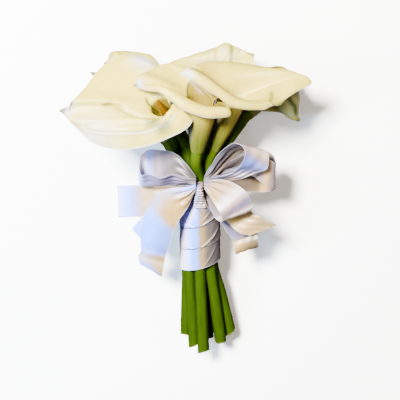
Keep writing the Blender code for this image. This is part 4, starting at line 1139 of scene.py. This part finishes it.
class BOUQUET_OT_bow(bpy.types.Operator):
    """Make the bow's five loops and four tails, with their bands of painted highlight and shade"""
    bl_idname = "bouquet.bow"
    bl_label = "Bow"

    def execute(self, context):
        sizes = context.scene.bouquet_sizes
        material = satin_material()
        for seed, (name, rows) in enumerate(STRIPS.items()):
            points, length, s = strip_grid(rows, STRIP_ROWS * len(rows), STRIP_COLUMNS, seed,
                                           1000.0 * sizes.wrinkle)
            v = np.linspace(0.0, 1.0, STRIP_COLUMNS)
            uv = np.stack(np.broadcast_arrays(0.001 * RIBBON_WIDTH * v[None, :], 0.001 * s[:, None]), -1)
            edge = 1.0 - smooth(np.minimum(v, 1.0 - v) / 0.035)
            # Painted light along and across the strip: lamp or window tint, painted highlight and painted
            # shade
            painted_window_light, painted_highlight, painted_shade = satin_painted_light(PAINTED_LIGHT_BANDS[name], PAINTED_LIGHT_ACROSS.get(name, (0.0, 0.0)), s, v)
            values = {"woven_edge": np.broadcast_to(edge, painted_window_light.shape), "painted_window_light": painted_window_light, "painted_highlight": painted_highlight,
                      "painted_shade": painted_shade}
            obj = make_sheet("satin_" + name, points, 1000.0 * sizes.ribbon, 0.5, values, uv)
            dress(obj, material, "bow_" + name)
        return {"FINISHED"}


class BOUQUET_OT_knot(bpy.types.Operator):
    """Make the bow's gathered middle: a rounded band down the front of the
    handle, narrow at the top, with small slanting puckers"""
    bl_idname = "bouquet.knot"
    bl_label = "Bow middle"

    def execute(self, context):
        u = np.linspace(0.0, 1.0, KNOT_ROWS)[:, None]
        half = KNOT_HALF[0] + (KNOT_HALF[1] - KNOT_HALF[0]) * smooth(u / 0.9)
        front = KNOT_FRONT[0] + (KNOT_FRONT[1] - KNOT_FRONT[0]) * smooth((u - 0.15) / 0.75)
        back = WRAP_RADIUS - KNOT_SINK[0] - (KNOT_SINK[1] - KNOT_SINK[0]) * u
        turn = (np.arange(KNOT_SIDES) * 2 * pi / KNOT_SIDES)[None, :]
        across = np.sign(np.cos(turn)) * np.abs(np.cos(turn)) ** KNOT_ROUND
        over = np.sign(np.sin(turn)) * np.abs(np.sin(turn)) ** KNOT_ROUND
        zigzag = np.abs((2.2 * across + 4.0 * np.sin(5.0 * u)) % 2.0 - 1.0)
        pucker = np.sin(2 * pi * (KNOT_PUCKERS * u + 0.35 * zigzag))
        pucker = np.sign(pucker) * np.abs(pucker) ** 0.7 * smooth(u / 0.06) * smooth((1.0 - u) / 0.1)
        x = (half + PUCKER_DEPTH[0] * pucker) * across
        y = KNOT_TOP - KNOT_LENGTH * u + 0.0 * x
        z = (0.5 * (front + back) + 0.5 * (front - back) * over
             + PUCKER_DEPTH[1] * pucker * np.maximum(over, 0.0))
        uv = np.stack([0.03 * np.cos(turn) + 0.0 * x, 0.03 * u + 0.0 * x], -1)
        # Painted light: a cooler tint where the middle faces left, painted highlight on the puckers' crests
        # and painted shade in their folds
        values = {"woven_edge": 0.0 * x, "painted_window_light": 0.3 - 0.2 * np.cos(turn) + 0.0 * x,
                  "painted_highlight": 0.25 * smooth(pucker), "painted_shade": smooth(-pucker)}
        obj = make_round("satin_knot", np.stack([x, y, z], -1), values, uv)
        dress(obj, bpy.data.materials["ribbon_satin"], "bow_tie")
        return {"FINISHED"}


class BOUQUET_OT_handle(bpy.types.Operator):
    """Make the wound ribbon: a sleeve whose radius climbs to each turn's lower
    edge and drops to the next, with creases that pull towards the front"""
    bl_idname = "bouquet.handle"
    bl_label = "Handle ribbon"

    def execute(self, context):
        sizes = context.scene.bouquet_sizes
        v = np.linspace(0.0, 1.0, WRAP_ROWS)[:, None]
        turn = (np.arange(WRAP_SIDES) * 360.0 / WRAP_SIDES)[None, :]
        angle = np.radians(turn)
        height = v + LAP_STEP * swell(turn / 360.0, 31, 5, 1.0, 5.0)
        places, lifts = np.array(WRAP_LAPS).T
        lift = np.interp(np.clip(height, 0.0, 1.0), places, lifts)
        ridges = sum(high * crease(turn, v, at, slant, long, wide)
                     for at, slant, long, wide, high in HANDLE_CREASES)
        under = sum(high * crease(turn, v, (at[0], at[1] + 0.9 * wide), slant, long, 0.8 * wide)
                    for at, slant, long, wide, high in HANDLE_CREASES)
        soft = (0.16 * swell(turn / 360.0 + 0.7 * v, 5, 6, 2.0, 7.0)
                + 0.12 * swell(v - turn / 180.0, 9, 6, 2.0, 8.0))
        radius = WRAP_RADIUS + LAP_LIFT * lift + 1000.0 * sizes.crease * ridges + soft
        slope = WRAP_SLOPE * smooth(v / 0.4)
        outer = self.sleeve(angle, v, radius, slope)
        inner = self.sleeve(angle, v, WRAP_RADIUS - WRAP_WALL + 0.0 * radius, slope)
        loop = np.concatenate([outer, inner[::-1]])
        along, around = v + 0.0 * turn, turn + 0.0 * v
        uv = 0.001 * np.stack([(WRAP_TOP - WRAP_BOTTOM) * np.concatenate([along, along[::-1]]),
                               HANDLE_GIRTH * np.concatenate([around, around]) / 360.0], -1)
        values = self.gloss(angle, v, height, places[lifts == 1.0], ridges, under)
        faces = grid_quads(2 * WRAP_ROWS, WRAP_SIDES, 1, 1).tolist()
        obj = make_object("satin_handle", loop.reshape(-1, 3), faces, values, uv.reshape(-1, 2))
        dress(obj, bpy.data.materials["ribbon_satin"], "ribbon_wrap")
        return {"FINISHED"}

    def gloss(self, angle, v, height, edges, ridges, under):
        """Painted light of the satin over the outer face, then the inner one. The
        window tint and the painted highlight and shade go round the front as
        HANDLE_PAINTED_LIGHT says, by how far left the ribbon faces, with painted
        highlight on the ridges and near the bow on the left, and painted shade under
        each ridge and edge."""
        facing, painted_window_light, light = np.array(HANDLE_PAINTED_LIGHT).T
        aside = -np.cos(angle) + 0.04 * swell(3.0 * v, 77, 5, 0.5, 3.0)
        # Near the bow the painted window tint fades to an even one
        painted_window_light = 0.4 + (np.interp(aside, facing, painted_window_light) - 0.4) * smooth((v - 0.15) / 0.35)
        light = np.interp(aside, facing, light) * smooth(np.sin(angle) + 0.4)
        # Painted highlight near the bow on the left
        light = light + 0.6 * np.exp(-((v - 0.25) / 0.14) ** 2) * smooth(aside / 0.4)
        # Painted shade under each crease and under each turn's edge
        steps = np.min([np.abs(height - at - LAP_STEP) for at in edges[:-1]], axis=0)
        light = light - 1.3 * np.clip(under + 0.7 * np.exp(-(steps / 0.007) ** 2), 0.0, 1.0)
        # Painted highlight on the creases' ridges; the inner face gets none
        light = np.concatenate([light + 0.5 * np.clip(ridges, 0.0, 1.0), 0.0 * light])
        lines = np.min([np.abs(height - at) for at in edges], axis=0)
        woven_edge = np.concatenate([1.0 - smooth(lines / EDGE_WIDTH), 0.0 * lines])
        return {"woven_edge": woven_edge.ravel(), "painted_window_light": np.concatenate([painted_window_light, painted_window_light[::-1]]).ravel(),
                "painted_highlight": np.clip(light, 0.0, 1.0).ravel(), "painted_shade": satin_shade(light).ravel()}

    def sleeve(self, angle, v, radius, slope):
        """Points at a radius round the handle and a height along it, the height
        sloped to the right."""
        x = np.cos(angle) * radius
        y = WRAP_TOP + (WRAP_BOTTOM - WRAP_TOP) * v + slope * x
        return np.stack([x, y, np.sin(angle) * radius], -1)


class BOUQUET_OT_stage(bpy.types.Operator):
    """Make the floor, the lights and the camera"""
    bl_idname = "bouquet.stage"
    bl_label = "Stage"

    def execute(self, context):
        scene = context.scene
        side = np.linspace(-FLOOR_HALF, FLOOR_HALF, FLOOR_LINES)
        x, y = np.meshgrid(side, side, indexing="ij")
        mesh = bpy.data.meshes.new("floor")
        quads = grid_quads(FLOOR_LINES, FLOOR_LINES)[:, ::-1]
        mesh.from_pydata(np.stack([x, y, 0.0 * x], -1).reshape(-1, 3).tolist(), [], quads.tolist())
        floor = bpy.data.objects.new("floor", mesh)
        scene.collection.objects.link(floor)
        colour = scene.bouquet_colours.floor
        paper = Skin("floor_paper", Emission_Color=(1.0, 1.0, 1.0, 1.0), Emission_Strength=FLOOR_GLOW)
        colour = paper.blend(paper.blotches(3.0, 1.0), colour, [0.985 * c for c in colour])
        mesh.materials.append(paper.finish(colour, 0.9))
        # The white floor takes the shadow, but it neither lights the bouquet
        # from below nor shows as a reflection in it.
        floor.visible_diffuse = False
        floor.visible_glossy = False
        for name, place, size, power, colour in LIGHTS:
            lamp = bpy.data.lights.new(name, "AREA")
            lamp.size, lamp.energy, lamp.color = size, power, colour
            obj = bpy.data.objects.new(name, lamp)
            scene.collection.objects.link(obj)
            obj.location = place
            obj.rotation_euler = (Vector(LIGHTS_AIM) - Vector(place)).to_track_quat("-Z", "Y").to_euler()
        world = bpy.data.worlds.new("room")
        world.use_nodes = True
        world.node_tree.nodes["Background"].inputs[0].default_value = WORLD_COLOUR
        world.node_tree.nodes["Background"].inputs[1].default_value = WORLD_LIGHT
        scene.world = world
        self.camera(scene)
        return {"FINISHED"}

    def camera(self, scene):
        """Camera at the photograph's angle: in the bouquet frame it stands
        VIEW_TILT up from Z, towards the blooms, and the picture's width at the
        bow is PHOTO_WIDTH steps."""
        tilt = radians(VIEW_TILT)
        back = Vector((0.0, sin(tilt), cos(tilt)))
        up = Vector((0.0, cos(tilt), -sin(tilt)))
        turn = Matrix((Vector((1.0, 0.0, 0.0)), up, back)).transposed().to_4x4()
        place = Matrix.Translation((back * VIEW_DISTANCE - up * VIEW_DROP) / 1000.0)
        laid = (Matrix.Translation(Vector(SHIFT) / 1000.0) @ Matrix.Rotation(radians(ROLL), 4, "Y")
                @ Matrix.Rotation(radians(PITCH), 4, "X"))
        lens = bpy.data.cameras.new("photo_camera")
        lens.sensor_width = SENSOR_WIDTH
        lens.lens = SENSOR_WIDTH * VIEW_DISTANCE / (PHOTO_WIDTH * STEP)
        obj = bpy.data.objects.new("photo_camera", lens)
        scene.collection.objects.link(obj)
        obj.matrix_world = laid @ place @ turn
        scene.camera = obj


STEPS = ("spathes", "spadices", "stems", "bow", "knot", "handle", "stage")


class BOUQUET_PT_panel(bpy.types.Panel):
    """Lists the bouquet's pieces in the sidebar"""
    bl_label = "Bouquet"
    bl_idname = "BOUQUET_PT_panel"
    bl_space_type = "VIEW_3D"
    bl_region_type = "UI"
    bl_category = "Bouquet"

    def draw(self, context):
        for step in STEPS:
            self.layout.operator("bouquet." + step)
        for group in (context.scene.bouquet_sizes, context.scene.bouquet_colours):
            box = self.layout.box()
            for key in group.__annotations__:
                box.prop(group, key)


CLASSES = (BouquetColours, BouquetSizes, BOUQUET_OT_spathes, BOUQUET_OT_spadices, BOUQUET_OT_stems,
           BOUQUET_OT_bow, BOUQUET_OT_knot, BOUQUET_OT_handle, BOUQUET_OT_stage, BOUQUET_PT_panel)


def register():
    """Registers the classes and the two groups of settings on the scene."""
    for cls in CLASSES:
        bpy.utils.register_class(cls)
    bpy.types.Scene.bouquet_colours = bpy.props.PointerProperty(type=BouquetColours)
    bpy.types.Scene.bouquet_sizes = bpy.props.PointerProperty(type=BouquetSizes)


def unregister():
    """Takes them off again."""
    del bpy.types.Scene.bouquet_colours
    del bpy.types.Scene.bouquet_sizes
    for cls in reversed(CLASSES):
        bpy.utils.unregister_class(cls)


def main():
    register()
    for step in STEPS:
        getattr(bpy.ops.bouquet, step)()


if __name__ == "__main__":
    main()
